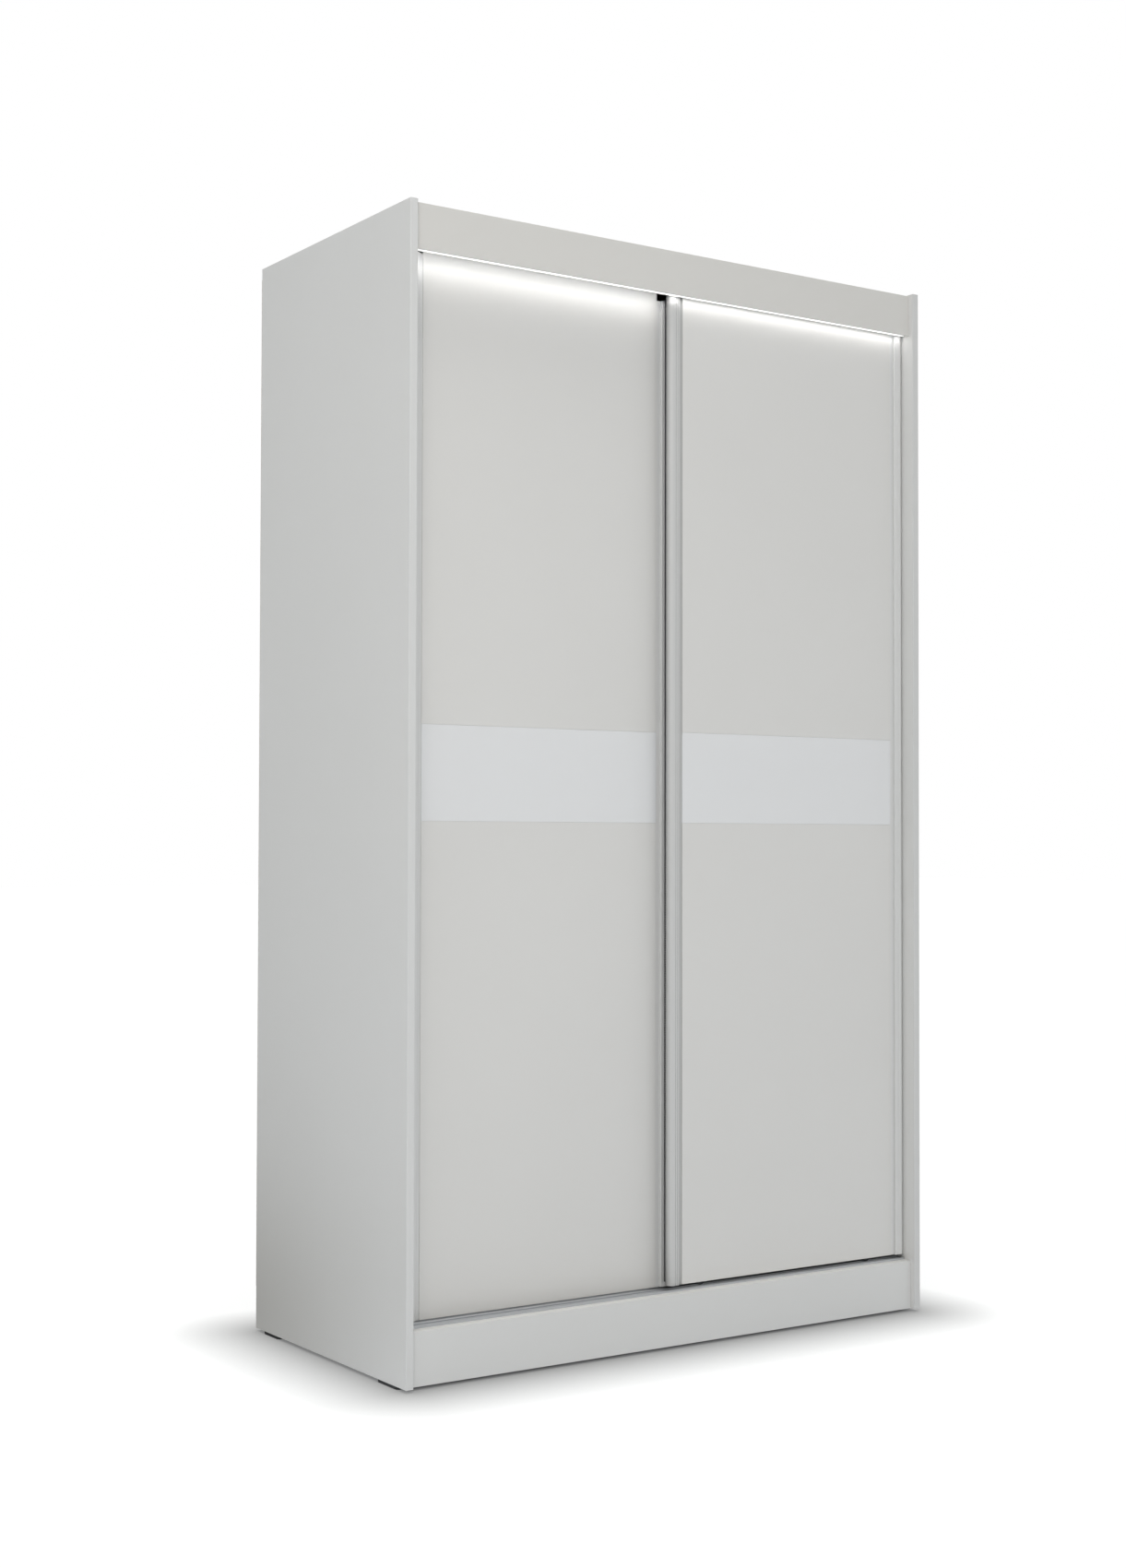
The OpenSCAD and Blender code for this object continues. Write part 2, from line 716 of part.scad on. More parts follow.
module place_door(side) {
    translate([(is_left(side) ? -1 : 1) * (inner_x - side_gap),
        face_y + (is_left(side) ? door_pitch : 0), 0])
        mirror([is_left(side) ? 0 : 1, 0, 0]) children();
}

function panel_u0(side) = outer_bar(side) + groove_w;
panel_u1 = door_w - bar_w - groove_w;

module door_panel(side) {
    color(WHITE) place_door(side) difference() {
        block([panel_u0(side), panel_set, door_z0(side)], [panel_u1, panel_set + panel_t, panel_z1]);
        block([panel_u0(side) - eps, panel_set - eps, glass_z0],
            [panel_u1 + eps, panel_set + glass_t, glass_z0 + glass_h]);
    }
}

module door_glass(side) {
    color(GLASS) place_door(side) block([panel_u0(side), panel_set, glass_z0],
        [panel_u1, panel_set + glass_t, glass_z0 + glass_h]);
}

// Section of a stile, outer edge at u = 0
module stile_section(bar) {
    back_v = panel_set + panel_t;
    difference() {
        union() {
            translate([nose_r, nose_r]) circle(nose_r);
            translate([nose_r, 0]) square([bar - nose_r, stile_t]);
            translate([bar - stile_wall, groove_set])
                square([groove_w + stile_wall, back_v + stile_wall - groove_set]);
            translate([bar + groove_w - stile_wall, back_v]) square([flange_l + stile_wall, stile_wall]);
        }
        translate([nose_r, nose_r]) circle(nose_r - stile_wall);
        translate([nose_r, stile_wall]) square([bar - nose_r - stile_wall, stile_t - 2 * stile_wall]);
        translate([bar, groove_set + stile_wall])
            square([groove_w - stile_wall, back_v - groove_set - stile_wall]);
        for (u = [bar - 9.4, bar - 4.8]) translate([u, -eps]) square([0.8, 0.5 + eps]);
    }
}

module door_stile(side, outer) {
    color(WHITE) place_door(side) translate([outer ? 0 : door_w, 0, door_z0(side)])
        mirror([outer ? 0 : 1, 0, 0]) linear_extrude(stile_top(side, outer) - door_z0(side))
            stile_section(outer ? outer_bar(side) : bar_w);
}

// Places measured from either outer edge of a door
module both_ends() {
    children();
    translate([door_w, 0, 0]) mirror([1, 0, 0]) children();
}

guide_z0 = panel_z1 - 45;
guide_u0 = max(outer_bar_w, bar_w) + groove_w + flange_l + 4; // clear of the stiles' flanges

// Nylon guides: a foot on the panel's back and a fin that runs in the top track
module top_guides(side) {
    v = panel_set + panel_t;
    fin_t = channel_w - 2 * guide_play;
    color(NYLON) place_door(side) both_ends() {
        block([guide_u0, v, guide_z0], [guide_u0 + guide_l, v + 5, panel_z1 + 3]);
        block([guide_in, hardware_v - fin_t / 2, panel_z1 + 2],
            [guide_u0 + guide_l, hardware_v + fin_t / 2, top_z0 - track_t - guide_play]);
    }
}

housing_u0 = max(housing_in, guide_u0);
axle_u = housing_u0 + housing_l / 2;

// Roller housings: two cheeks and a cap around each wheel
module roller_housings(side) {
    v = panel_set + panel_t;
    color(NYLON) place_door(side) both_ends() difference() {
        block([housing_u0, v, housing_z0], [housing_u0 + housing_l, v + housing_d, housing_z1]);
        block([housing_u0 + 7, v + plate_t, housing_z0 - eps],
            [housing_u0 + housing_l - 7, v + housing_d - plate_t, wheel_z + wheel_r + flange_h + 2]);
        rod_y([axle_u, v - eps, wheel_z], axle_r, housing_d + 2 * eps);
        for (u = [-1, 1]) translate([axle_u + u * housing_screw_x, v + housing_d, housing_z1 - 9])
            rotate([-90, 0, 0]) screw_hole(housing_d + eps);
    }
}

module axles(side) {
    v = panel_set + panel_t;
    color(STEEL) place_door(side) both_ends() rod_y([axle_u, v, wheel_z], axle_r, housing_d);
}

module door_screws(side) {
    v = panel_set + panel_t;
    color(STEEL) place_door(side) both_ends() {
        for (u = [-1, 1]) {
            translate([axle_u + u * housing_screw_x, v + housing_d, housing_z1 - 9])
                rotate([-90, 0, 0]) wood_screw(housing_d + panel_t - 2);
            translate([guide_u0 + guide_l / 2 + u * guide_l / 4, v + 5, guide_z0 + 12])
                rotate([-90, 0, 0]) wood_screw(5 + panel_t - 2);
        }
    }
}

// Grooved wheel on a plain bore
module wheel_section() {
    rim_w = (wheel_w - rib_w) / 2 - 0.6;
    difference() {
        translate([axle_r + fit, -wheel_w / 2]) square([wheel_r + flange_h - axle_r - fit, wheel_w]);
        translate([wheel_r, rim_w - wheel_w / 2]) square([flange_h + eps, wheel_w - 2 * rim_w]);
    }
}

module door_wheel(side, outer) {
    color(NYLON) place_door(side)
        translate([outer ? axle_u : door_w - axle_u, hardware_v, wheel_z])
            rotate([90, 0, 0]) rotate_extrude($fn = 72) wheel_section();
}

// Brush on the back of the front door's inner stile, reaching towards the rear door
module right_door_brush() {
    u = door_w - bar_w / 2;
    z0 = door_z0("right") + 4;
    color(RUBBER) place_door("right") {
        block([u - 4, stile_t, z0], [u + 4, stile_t + 1.2, stile_z1 - 4]);
        block([u - 2, stile_t + 1, z0], [u + 2, door_pitch - 1, stile_z1 - 4]);
    }
}

side_panel(-1);  // side_panel_left
side_panel(1);  // side_panel_right
edging(-1);  // edging_left
edging(1);  // edging_right
top_panel();
bottom_panel();
centre_partition();
back_panel(-1);  // back_panel_left
back_panel(1);  // back_panel_right
back_nails();
front_plinth();
rear_plinth();
base_stretcher();
fascia();
right_shelf();
shelf_pins();
hanging_rail();
rail_brackets();
cam_locks();
cam_bolts();
partition_screws();
top_track();
bottom_track();
track_screws();
track_buffers();
led_channel();
led_strip();
led_diffuser();
led_driver();
led_lead();
lead_clips();
glides();
wall_brackets();
bracket_screws();
right_door_brush();
for (i = [1:shelf_count]) {
    shelf(i);
}
for (side = ["left", "right"]) {
    door_panel(side);
    door_glass(side);
    door_stile(side, true);
    door_stile(side, false);
    top_guides(side);
    roller_housings(side);
    axles(side);
    door_screws(side);
    door_wheel(side, true);
    door_wheel(side, false);
}
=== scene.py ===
import math

import bpy
from mathutils import Matrix, Vector


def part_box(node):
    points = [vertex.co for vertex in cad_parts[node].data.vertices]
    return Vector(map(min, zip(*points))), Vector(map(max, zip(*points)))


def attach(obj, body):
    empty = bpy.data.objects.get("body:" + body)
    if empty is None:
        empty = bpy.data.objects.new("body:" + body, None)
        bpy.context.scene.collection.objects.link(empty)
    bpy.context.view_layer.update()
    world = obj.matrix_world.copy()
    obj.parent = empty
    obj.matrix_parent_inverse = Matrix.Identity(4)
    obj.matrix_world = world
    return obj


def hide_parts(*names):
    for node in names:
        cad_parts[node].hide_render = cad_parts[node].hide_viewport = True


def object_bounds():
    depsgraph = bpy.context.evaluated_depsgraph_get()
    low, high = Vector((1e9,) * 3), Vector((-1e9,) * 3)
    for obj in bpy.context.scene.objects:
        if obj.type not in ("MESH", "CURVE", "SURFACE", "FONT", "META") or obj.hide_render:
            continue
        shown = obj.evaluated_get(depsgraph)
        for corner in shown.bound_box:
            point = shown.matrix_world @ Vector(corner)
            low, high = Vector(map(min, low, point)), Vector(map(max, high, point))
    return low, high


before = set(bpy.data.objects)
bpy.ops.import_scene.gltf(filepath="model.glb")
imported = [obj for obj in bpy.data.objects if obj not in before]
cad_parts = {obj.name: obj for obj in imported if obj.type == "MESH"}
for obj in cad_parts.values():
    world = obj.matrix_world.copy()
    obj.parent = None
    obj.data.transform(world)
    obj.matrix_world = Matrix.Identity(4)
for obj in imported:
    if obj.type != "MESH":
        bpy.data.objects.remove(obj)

# Looks of a two-door sliding wardrobe in white board. Lengths are metres, and every piece
# takes its place from the boxes of the fixed frame.

cad_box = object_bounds()
MM = 0.001
X, Y, Z = 0, 1, 2


# ---------------------------------------------------------------- camera

def deselect():
    bpy.ops.object.select_all(action="DESELECT")


def look_from(place, heading, tilt, roll, lens):
    """A camera that stands at place, turned by heading about Z, then tilted up and rolled."""
    deselect()
    bpy.ops.object.camera_add(location=place)
    camera = bpy.context.object
    camera.name = "room_camera"
    turn = (Matrix.Rotation(math.radians(heading), 3, "Z")
            @ Matrix.Rotation(math.radians(tilt), 3, "X")
            @ Matrix.Rotation(math.radians(roll), 3, "Y"))
    right, ahead, up = turn.col
    camera.matrix_world = Matrix.Translation(place) @ Matrix((right, up, -ahead)).transposed().to_4x4()
    camera.data.lens = lens
    camera.data.sensor_width = 36
    camera.data.clip_end = 200
    bpy.context.scene.camera = camera


look_from(Vector((-2.5817, -3.7031, 0.9896)), heading=-34.014, tilt=1.523, roll=-0.129, lens=49.81)


# ---------------------------------------------------------------- shared effects

def new_effect(name, inputs, outputs):
    """An empty node group with named sockets, and its two end nodes."""
    tree = bpy.data.node_groups.new(name, "ShaderNodeTree")
    for label, value in inputs.items():
        kind = "NodeSocketVector" if isinstance(value, tuple) else "NodeSocketFloat"
        tree.interface.new_socket(name=label, in_out="INPUT", socket_type=kind).default_value = value
    for label in outputs:
        tree.interface.new_socket(name=label, in_out="OUTPUT", socket_type="NodeSocketFloat")
    return tree, tree.nodes.new("NodeGroupInput"), tree.nodes.new("NodeGroupOutput")


def join(tree, source, target):
    """Feeds a socket from another one, or sets it to a constant."""
    if isinstance(source, bpy.types.NodeSocket):
        tree.links.new(source, target)
    else:
        target.default_value = source


def put(tree, kind, **values):
    """A new node with its inputs set by name, and its own settings set where they have that name."""
    node = tree.nodes.new(kind)
    for label, value in values.items():
        if hasattr(node, label):
            setattr(node, label, value)
        else:
            node.inputs[label].default_value = value
    return node


def feed(tree, node, *values):
    """Fills a node's first inputs in their order, and gives its first output."""
    for socket, value in zip(node.inputs, values):
        join(tree, value, socket)
    return node.outputs[0]


def sums(tree, operation, a, b):
    """A Math node on two values, each a socket or a number."""
    return feed(tree, put(tree, "ShaderNodeMath", operation=operation), a, b)


def vectors(tree, operation, *values):
    """A Vector Math node whose result is a vector."""
    return feed(tree, put(tree, "ShaderNodeVectorMath", operation=operation), *values)


def measure(tree, operation, *values):
    """A Vector Math node whose result is a number."""
    node = put(tree, "ShaderNodeVectorMath", operation=operation)
    feed(tree, node, *values)
    return node.outputs["Value"]


def remap(tree, value, low, high, start=0, stop=1):
    """A value between low and high, drawn out to run from start to stop."""
    return feed(tree, put(tree, "ShaderNodeMapRange"), value, low, high, start, stop)


def blend_colour(tree, share, low, high):
    """Two colours mixed by share; each is a socket or a colour."""
    node = put(tree, "ShaderNodeMix", data_type="RGBA")
    for value, socket in ((share, node.inputs["Factor"]), (low, node.inputs[6]), (high, node.inputs[7])):
        join(tree, value, socket)
    return node.outputs[2]


def on_piece(tree):
    """The place on the piece that patterns are read at."""
    return put(tree, "ShaderNodeTexCoord").outputs["Object"]


def noise(tree, place, scale, detail, roughness):
    node = put(tree, "ShaderNodeTexNoise", Detail=detail, Roughness=roughness)
    join(tree, place, node.inputs["Vector"])
    join(tree, scale, node.inputs["Scale"])
    return node.outputs[0]


def about_one(tree, value, span):
    """A value from 0 to 1, turned into a factor that sways about 1 by span in all."""
    return sums(tree, "ADD", sums(tree, "MULTIPLY", sums(tree, "SUBTRACT", value, 0.5), span), 1.0)


def make_board_skin():
    """The pressed pearl of laminate or moulded plastic, with slow drifts of tone."""
    tree, start, end = new_effect("board_skin", {"Pitch": 900.0, "Drift": 0.03}, ("Tone", "Height", "Gloss"))
    place = on_piece(tree)
    join(tree, about_one(tree, noise(tree, place, 2.3, 2.0, 0.45), start.outputs["Drift"]), end.inputs["Tone"])
    join(tree, noise(tree, place, start.outputs["Pitch"], 3.0, 0.6), end.inputs["Height"])
    join(tree, noise(tree, place, 14.0, 4.0, 0.6), end.inputs["Gloss"])
    return tree


def make_draw_lines():
    """Fine draw lines along one direction, for extrusions and drawn tube."""
    tree, start, end = new_effect("draw_lines", {"Stretch": (4.0, 900.0, 900.0)}, ("Tone", "Height", "Gloss"))
    stretched = vectors(tree, "MULTIPLY", on_piece(tree), start.outputs["Stretch"])
    lines = noise(tree, stretched, 1.0, 3.0, 0.7)
    join(tree, about_one(tree, lines, 0.12), end.inputs["Tone"])
    join(tree, lines, end.inputs["Height"])
    join(tree, lines, end.inputs["Gloss"])
    return tree


def make_edge_wear():
    """A mask that is 1 on worn corners and 0 on open faces."""
    tree, start, end = new_effect("edge_wear", {"Reach": 0.001, "Amount": 0.5}, ("Mask",))
    rounded = put(tree, "ShaderNodeBevel", samples=4)
    join(tree, start.outputs["Reach"], rounded.inputs["Radius"])
    flat = put(tree, "ShaderNodeNewGeometry").outputs["Normal"]
    corner = remap(tree, measure(tree, "DOT_PRODUCT", rounded.outputs[0], flat), 0.99, 0.80)
    rubbed = sums(tree, "MULTIPLY", corner, noise(tree, on_piece(tree), 35.0, 4.0, 0.65))
    join(tree, sums(tree, "MULTIPLY", rubbed, start.outputs["Amount"]), end.inputs["Mask"])
    return tree


def make_dust():
    """A mask of fine dust that settles on what faces up."""
    tree, start, end = new_effect("settled_dust", {"Amount": 0.3}, ("Mask",))
    facing = put(tree, "ShaderNodeSeparateXYZ")
    join(tree, put(tree, "ShaderNodeNewGeometry").outputs["Normal"], facing.inputs[0])
    upward = remap(tree, facing.outputs["Z"], 0.7, 1.0)
    settled = sums(tree, "MULTIPLY", upward, noise(tree, on_piece(tree), 9.0, 6.0, 0.7))
    join(tree, sums(tree, "MULTIPLY", settled, start.outputs["Amount"]), end.inputs["Mask"])
    return tree


board_skin = make_board_skin()
draw_lines = make_draw_lines()
edge_wear = make_edge_wear()
settled_dust = make_dust()


# ---------------------------------------------------------------- finishes

DUST_COLOUR = (0.62, 0.60, 0.56, 1)
POLISHED = 0.004 * MM  # relief of a bright face
EVEN = 0.01 * MM       # relief of an even skin
PRESSED = 0.02 * MM    # relief of a pressed skin


def make_finish(name, colour, roughness, relief, pitch=900.0, drift=0.03, gloss_drift=0.08,
                worn=(0.95, 0.95, 0.95, 1), wear=0.3, dust=0.2, stretch=None, hollow=0.0, reach=0.02,
                own_only=True, **shader):
    """A finish with relief, drifting tone and gloss, rubbed corners and settled dust.
    Relief is the height of its grain in metres. Hollow is how much painted shade darkens its deep
    grooves and the places near other parts. Shader sets the sockets that are even all over."""
    material = bpy.data.materials.new(name)
    material.use_nodes = True
    tree = material.node_tree
    surface = tree.nodes["Principled BSDF"]
    for label, value in shader.items():
        surface.inputs[label.replace("_", " ")].default_value = value
    skin = put(tree, "ShaderNodeGroup", node_tree=draw_lines if stretch else board_skin)
    if stretch:
        skin.inputs["Stretch"].default_value = stretch
    else:
        skin.inputs["Pitch"].default_value = pitch
        skin.inputs["Drift"].default_value = drift
    rubbed = put(tree, "ShaderNodeGroup", node_tree=edge_wear, Amount=wear).outputs["Mask"]
    dusty = put(tree, "ShaderNodeGroup", node_tree=settled_dust, Amount=dust).outputs["Mask"]
    tone = skin.outputs["Tone"]
    # Painted shade: ambient occlusion within reach darkens the colour where recesses and nearby parts block the
    # light.
    if hollow:
        recess_shade = put(tree, "ShaderNodeAmbientOcclusion", samples=8, only_local=own_only, Distance=reach)
        tone = sums(tree, "MULTIPLY", tone, remap(tree, recess_shade.outputs["AO"], 0, 1, 1 - hollow))
    toned = put(tree, "ShaderNodeVectorMath", operation="SCALE")
    toned.inputs[0].default_value = colour[:3]
    join(tree, tone, toned.inputs["Scale"])
    corners = blend_colour(tree, rubbed, toned.outputs[0], worn)
    join(tree, blend_colour(tree, dusty, corners, DUST_COLOUR), surface.inputs["Base Color"])
    varied = sums(tree, "MULTIPLY", sums(tree, "SUBTRACT", skin.outputs["Gloss"], 0.5), gloss_drift)
    dulled = sums(tree, "ADD", varied, sums(tree, "MULTIPLY", dusty, 0.5))
    join(tree, sums(tree, "ADD", dulled, roughness), surface.inputs["Roughness"])
    bump = put(tree, "ShaderNodeBump", Strength=1.0, Distance=relief)
    join(tree, skin.outputs["Height"], bump.inputs["Height"])
    join(tree, bump.outputs[0], surface.inputs["Normal"])
    return material


def make_light_finish(name, colour, power):
    """A lit surface."""
    material = make_finish(name, (0.92, 0.92, 0.9, 1), 0.35, PRESSED, dust=0.0, wear=0.0)
    surface = material.node_tree.nodes["Principled BSDF"]
    surface.inputs["Emission Color"].default_value = colour
    surface.inputs["Emission Strength"].default_value = power
    return material


pressed_board = dict(roughness=0.42, relief=PRESSED, pitch=1100.0, drift=0.035)
even_band = dict(relief=EVEN, pitch=500.0, drift=0.02)
stile_wrap = dict(relief=EVEN, pitch=700.0, drift=0.02, wear=0.2)
laminate = make_finish("white_laminate", (0.715, 0.714, 0.70, 1), **pressed_board)
fascia_skin = make_finish("white_fascia_laminate", (0.685, 0.672, 0.642, 1), **pressed_board)
edging = make_finish("white_edging", (0.69, 0.69, 0.68, 1), 0.36, **even_band)
# A darker copy of the edging for the right side board, as painted shade.
shaded_edging = make_finish("white_edging_painted_shade", (0.645, 0.645, 0.635, 1), 0.40, **even_band)
# The stile foil takes a little painted shade in its grooves.
foil = make_finish("white_stile_foil", (0.73, 0.73, 0.72, 1), 0.30, hollow=0.2, reach=0.012, **stile_wrap)
# A darker copy of the stile foil for the meeting stile, with strong painted shade from the rear door and the parts
# round it.
shaded_foil = make_finish("meeting_stile_foil_painted_shade", (0.61, 0.61, 0.60, 1), 0.42, hollow=0.9, reach=0.12,
                          own_only=False, **stile_wrap)
door_board = make_finish("white_door_board", (0.718, 0.709, 0.688, 1), 0.40, PRESSED, pitch=1100.0, drift=0.04)
glass = make_finish("white_back_painted_glass", (0.80, 0.805, 0.81, 1), 0.06, POLISHED, pitch=30.0, drift=0.01,
                    gloss_drift=0.05, worn=(0.75, 0.88, 0.84, 1), wear=0.5, dust=0.1,
                    Coat_Weight=1.0, Coat_Roughness=0.02, IOR=1.52)
lacquer = make_finish("white_sheet_lacquer", (0.80, 0.80, 0.78, 1), 0.45, 0.03 * MM, pitch=400.0)
fibre = make_finish("brown_fibreboard", (0.30, 0.185, 0.10, 1), 0.75, 0.12 * MM, pitch=650.0, drift=0.5,
                    worn=(0.40, 0.27, 0.16, 1), wear=0.7)
aluminium = make_finish("anodised_aluminium", (0.60, 0.62, 0.65, 1), 0.32, EVEN, stretch=(3.0, 700.0, 700.0),
                        worn=(0.85, 0.86, 0.88, 1), Metallic=0.9)
zinc = make_finish("zinc_plated_steel", (0.62, 0.63, 0.64, 1), 0.34, PRESSED, pitch=260.0, drift=0.25,
                   worn=(0.8, 0.8, 0.8, 1), Metallic=1.0)
chrome = make_finish("bright_chrome", (0.78, 0.79, 0.80, 1), 0.10, POLISHED, stretch=(5.0, 400.0, 400.0),
                     gloss_drift=0.05, Metallic=1.0)
plastic = make_finish("white_moulded_plastic", (0.80, 0.80, 0.79, 1), 0.40, 0.04 * MM, pitch=800.0)
rubber = make_finish("black_rubber", (0.022, 0.022, 0.024, 1), 0.62, 0.06 * MM, pitch=500.0, drift=0.3,
                     worn=(0.10, 0.10, 0.10, 1))
bristle = make_finish("dark_pile", (0.05, 0.05, 0.055, 1), 0.8, 0.3 * MM, stretch=(900.0, 60.0, 900.0),
                      worn=(0.09, 0.09, 0.09, 1))
nylon = make_finish("grey_nylon", (0.10, 0.105, 0.11, 1), 0.42, 0.05 * MM, pitch=600.0, drift=0.1,
                    worn=(0.22, 0.22, 0.22, 1))
lens_light = make_light_finish("lit_lens", (1.0, 0.985, 0.95, 1), 0.7)
chip_light = make_light_finish("lit_strip", (1.0, 0.97, 0.88, 1), 12.0)


# ---------------------------------------------------------------- modelling

def between(first, second):
    return (first + second) / 2


def only(piece):
    """Selects the piece alone and makes it the active one."""
    deselect()
    bpy.context.view_layer.objects.active = piece
    piece.select_set(True)


def edit(piece):
    only(piece)
    bpy.ops.object.mode_set(mode="EDIT")


def done():
    bpy.ops.object.mode_set(mode="OBJECT")


def whole():
    """Selects all of the mesh that is being edited."""
    bpy.ops.mesh.select_all(action="SELECT")


def weld(reach):
    """Merges corners that lie together."""
    whole()
    bpy.ops.mesh.remove_doubles(threshold=reach)


def block(name, low, high):
    """A block between two corners, ready to be shaped."""
    deselect()
    centre = [(a + b) / 2 for a, b in zip(low, high)]
    span = [b - a for a, b in zip(low, high)]
    bpy.ops.mesh.primitive_cube_add(size=1, location=centre, scale=span)
    piece = bpy.context.object
    piece.name = piece.data.name = name
    bpy.ops.object.transform_apply(location=True, rotation=True, scale=True)
    return piece


def pick_faces(piece, wanted):
    """Selects the faces for which wanted(centre, normal) is true, and leaves the piece in edit mode."""
    edit(piece)
    bpy.ops.mesh.select_mode(type="FACE")
    bpy.ops.mesh.select_all(action="DESELECT")
    done()
    for face in piece.data.polygons:
        face.select = wanted(face.center, face.normal)
    bpy.ops.object.mode_set(mode="EDIT")


def add_finish(piece, material):
    piece.data.materials.append(material)
    return len(piece.data.materials) - 1


def face_with(piece, finish, wanted):
    """Gives one of the piece's finishes to the faces that are wanted."""
    pick_faces(piece, wanted)
    piece.active_material_index = finish
    bpy.ops.object.material_slot_assign()
    done()


def trace(points, closed=True):
    """Draws a line through the points, corner by corner, in edit mode."""
    bpy.ops.mesh.primitive_plane_add(size=MM, location=points[0])
    bpy.ops.mesh.merge(type="CENTER")
    for here, there in zip(points, points[1:] + points[:1] if closed else points[1:]):
        step = tuple(b - a for a, b in zip(here, there))
        bpy.ops.mesh.extrude_vertices_move(TRANSFORM_OT_translate={"value": step})


def blank(name):
    """An empty mesh in edit mode, ready to be drawn in."""
    deselect()
    bpy.ops.mesh.primitive_plane_add(size=MM)
    piece = bpy.context.object
    piece.name = piece.data.name = name
    bpy.ops.object.mode_set(mode="EDIT")
    bpy.ops.mesh.select_mode(type="VERT")
    bpy.ops.mesh.delete(type="VERT")
    return piece


def extrusion(name, loops, along, low, high):
    """A bar whose section is the area between closed loops. A loop's points are in the two
    other axes, in their order, and the bar runs from low to high along its own axis."""
    def in_space(point):
        place = list(point)
        place.insert(along, low)
        return Vector(place)

    piece = blank(name)
    for loop in loops:
        trace([in_space(p) for p in loop])
    weld(0.01 * MM)
    bpy.ops.mesh.fill()
    whole()
    travel = [0, 0, 0]
    travel[along] = high - low
    bpy.ops.mesh.extrude_region_move(TRANSFORM_OT_translate={"value": travel})
    whole()
    bpy.ops.mesh.normals_make_consistent(inside=False)
    done()
    return piece


def turned(name, profile, centre, along, closed=False, steps=32):
    """A turned part. Its profile's points are (radius, place along the axis from the centre)."""
    across = (along + 1) % 3
    line = []
    for radius, step in profile:
        place = list(centre)
        place[across] += radius
        place[along] += step
        line.append(Vector(place))
    axis = [0, 0, 0]
    axis[along] = 1
    piece = blank(name)
    trace(line, closed)
    weld(0.001 * MM)
    bpy.ops.mesh.spin(steps=steps, angle=2 * math.pi, center=centre, axis=axis)
    weld(0.001 * MM)
    bpy.ops.mesh.normals_make_consistent(inside=False)
    done()
    return piece


def use_modifier(piece, kind, **settings):
    only(piece)
    bpy.ops.object.modifier_add(type=kind)
    modifier = piece.modifiers[-1]
    for label, value in settings.items():
        setattr(modifier, label, value)
    bpy.ops.object.modifier_apply(modifier=modifier.name)


def repeat(piece, count, step):
    """Repeats the piece in a row."""
    use_modifier(piece, "ARRAY", count=count, use_relative_offset=False, use_constant_offset=True,
                 constant_offset_displace=step)


def combine(piece, tool, operation):
    """Cuts a tool out of the piece, or welds another part to it, and takes the tool away."""
    use_modifier(piece, "BOOLEAN", operation=operation, object=tool, solver="EXACT")
    deselect()
    tool.select_set(True)
    bpy.ops.object.delete()


def drill(piece, centre, radius, depth, along, sides=40):
    """Bores a round hole through the point, along an axis."""
    deselect()
    lean = {X: (0, math.pi / 2, 0), Y: (math.pi / 2, 0, 0), Z: (0, 0, 0)}[along]
    bpy.ops.mesh.primitive_cylinder_add(vertices=sides, radius=radius, depth=depth, location=centre,
                                        rotation=lean)
    tool = bpy.context.object
    bpy.ops.object.transform_apply(location=True, rotation=True, scale=True)
    combine(piece, tool, "DIFFERENCE")


def gather(name, parts):
    """Joins parts into one piece."""
    deselect()
    for part in parts:
        part.select_set(True)
    bpy.context.view_layer.objects.active = parts[0]
    bpy.ops.object.join()
    parts[0].name = parts[0].data.name = name
    return parts[0]


def break_edges(piece, radius, segments=2, sharper_than=40):
    """Rounds every edge that is sharper than an angle."""
    use_modifier(piece, "BEVEL", width=radius, segments=segments, limit_method="ANGLE",
                 angle_limit=math.radians(sharper_than), use_clamp_overlap=True)


def settle(piece, body, material, stands_for=(), smooth=40):
    """Shades the piece, gives it its finish, and hands it to its body."""
    only(piece)
    bpy.ops.object.shade_smooth_by_angle(angle=math.radians(smooth))
    use_modifier(piece, "WEIGHTED_NORMAL", keep_sharp=True)
    if not piece.data.materials:
        piece.data.materials.append(material)
    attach(piece, body)
    if stands_for:
        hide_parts(*stands_for)
    return piece


def arc(centre, radius, start, stop, steps):
    """Points on a circle from one angle to another, in degrees."""
    angles = [math.radians(start + (stop - start) * i / steps) for i in range(steps + 1)]
    return [(centre[0] + radius * math.cos(a), centre[1] + radius * math.sin(a)) for a in angles]


def copies(piece, steps):
    """The piece and copies of it, each with its own mesh and moved by one of the steps."""
    parts = [piece]
    for step in steps:
        only(piece)
        bpy.ops.object.duplicate()
        twin = bpy.context.object
        edit(twin)
        whole()
        bpy.ops.transform.translate(value=step)
        done()
        parts.append(twin)
    return parts


def stadium(centre, length, width, steps=16):
    """A long round-ended loop, its length along the first of the loop's two axes."""
    half, r = (length - width) / 2, width / 2
    return (arc((centre[0] + half, centre[1]), r, -90, 90, steps)
            + arc((centre[0] - half, centre[1]), r, 90, 270, steps))


def soft_corners(low, high, radius, steps=6):
    """A rectangle with round corners."""
    left, right = low[0] + radius, high[0] - radius
    bottom, top = low[1] + radius, high[1] - radius
    corners = (((right, bottom), 270), ((right, top), 0), ((left, top), 90), ((left, bottom), 180))
    return [point for centre, start in corners for point in arc(centre, radius, start, start + 90, steps)]


def circle(centre, radius, steps=28):
    return arc(centre, radius, 0, 360 - 360 / steps, steps - 1)


# ---------------------------------------------------------------- carcass boards

BAND = 1 * MM          # thickness of the band glued on a board's front edge
ARRIS = 0.5 * MM       # broken edge of a board
SEAM = 0.25 * MM       # broken edge where a board meets its band
PROUD = 0.15 * MM      # how far the heads of nails and screws stand out of what they hold
LEAD_INSET = 5 * MM    # from the fascia's right end to the light's lead


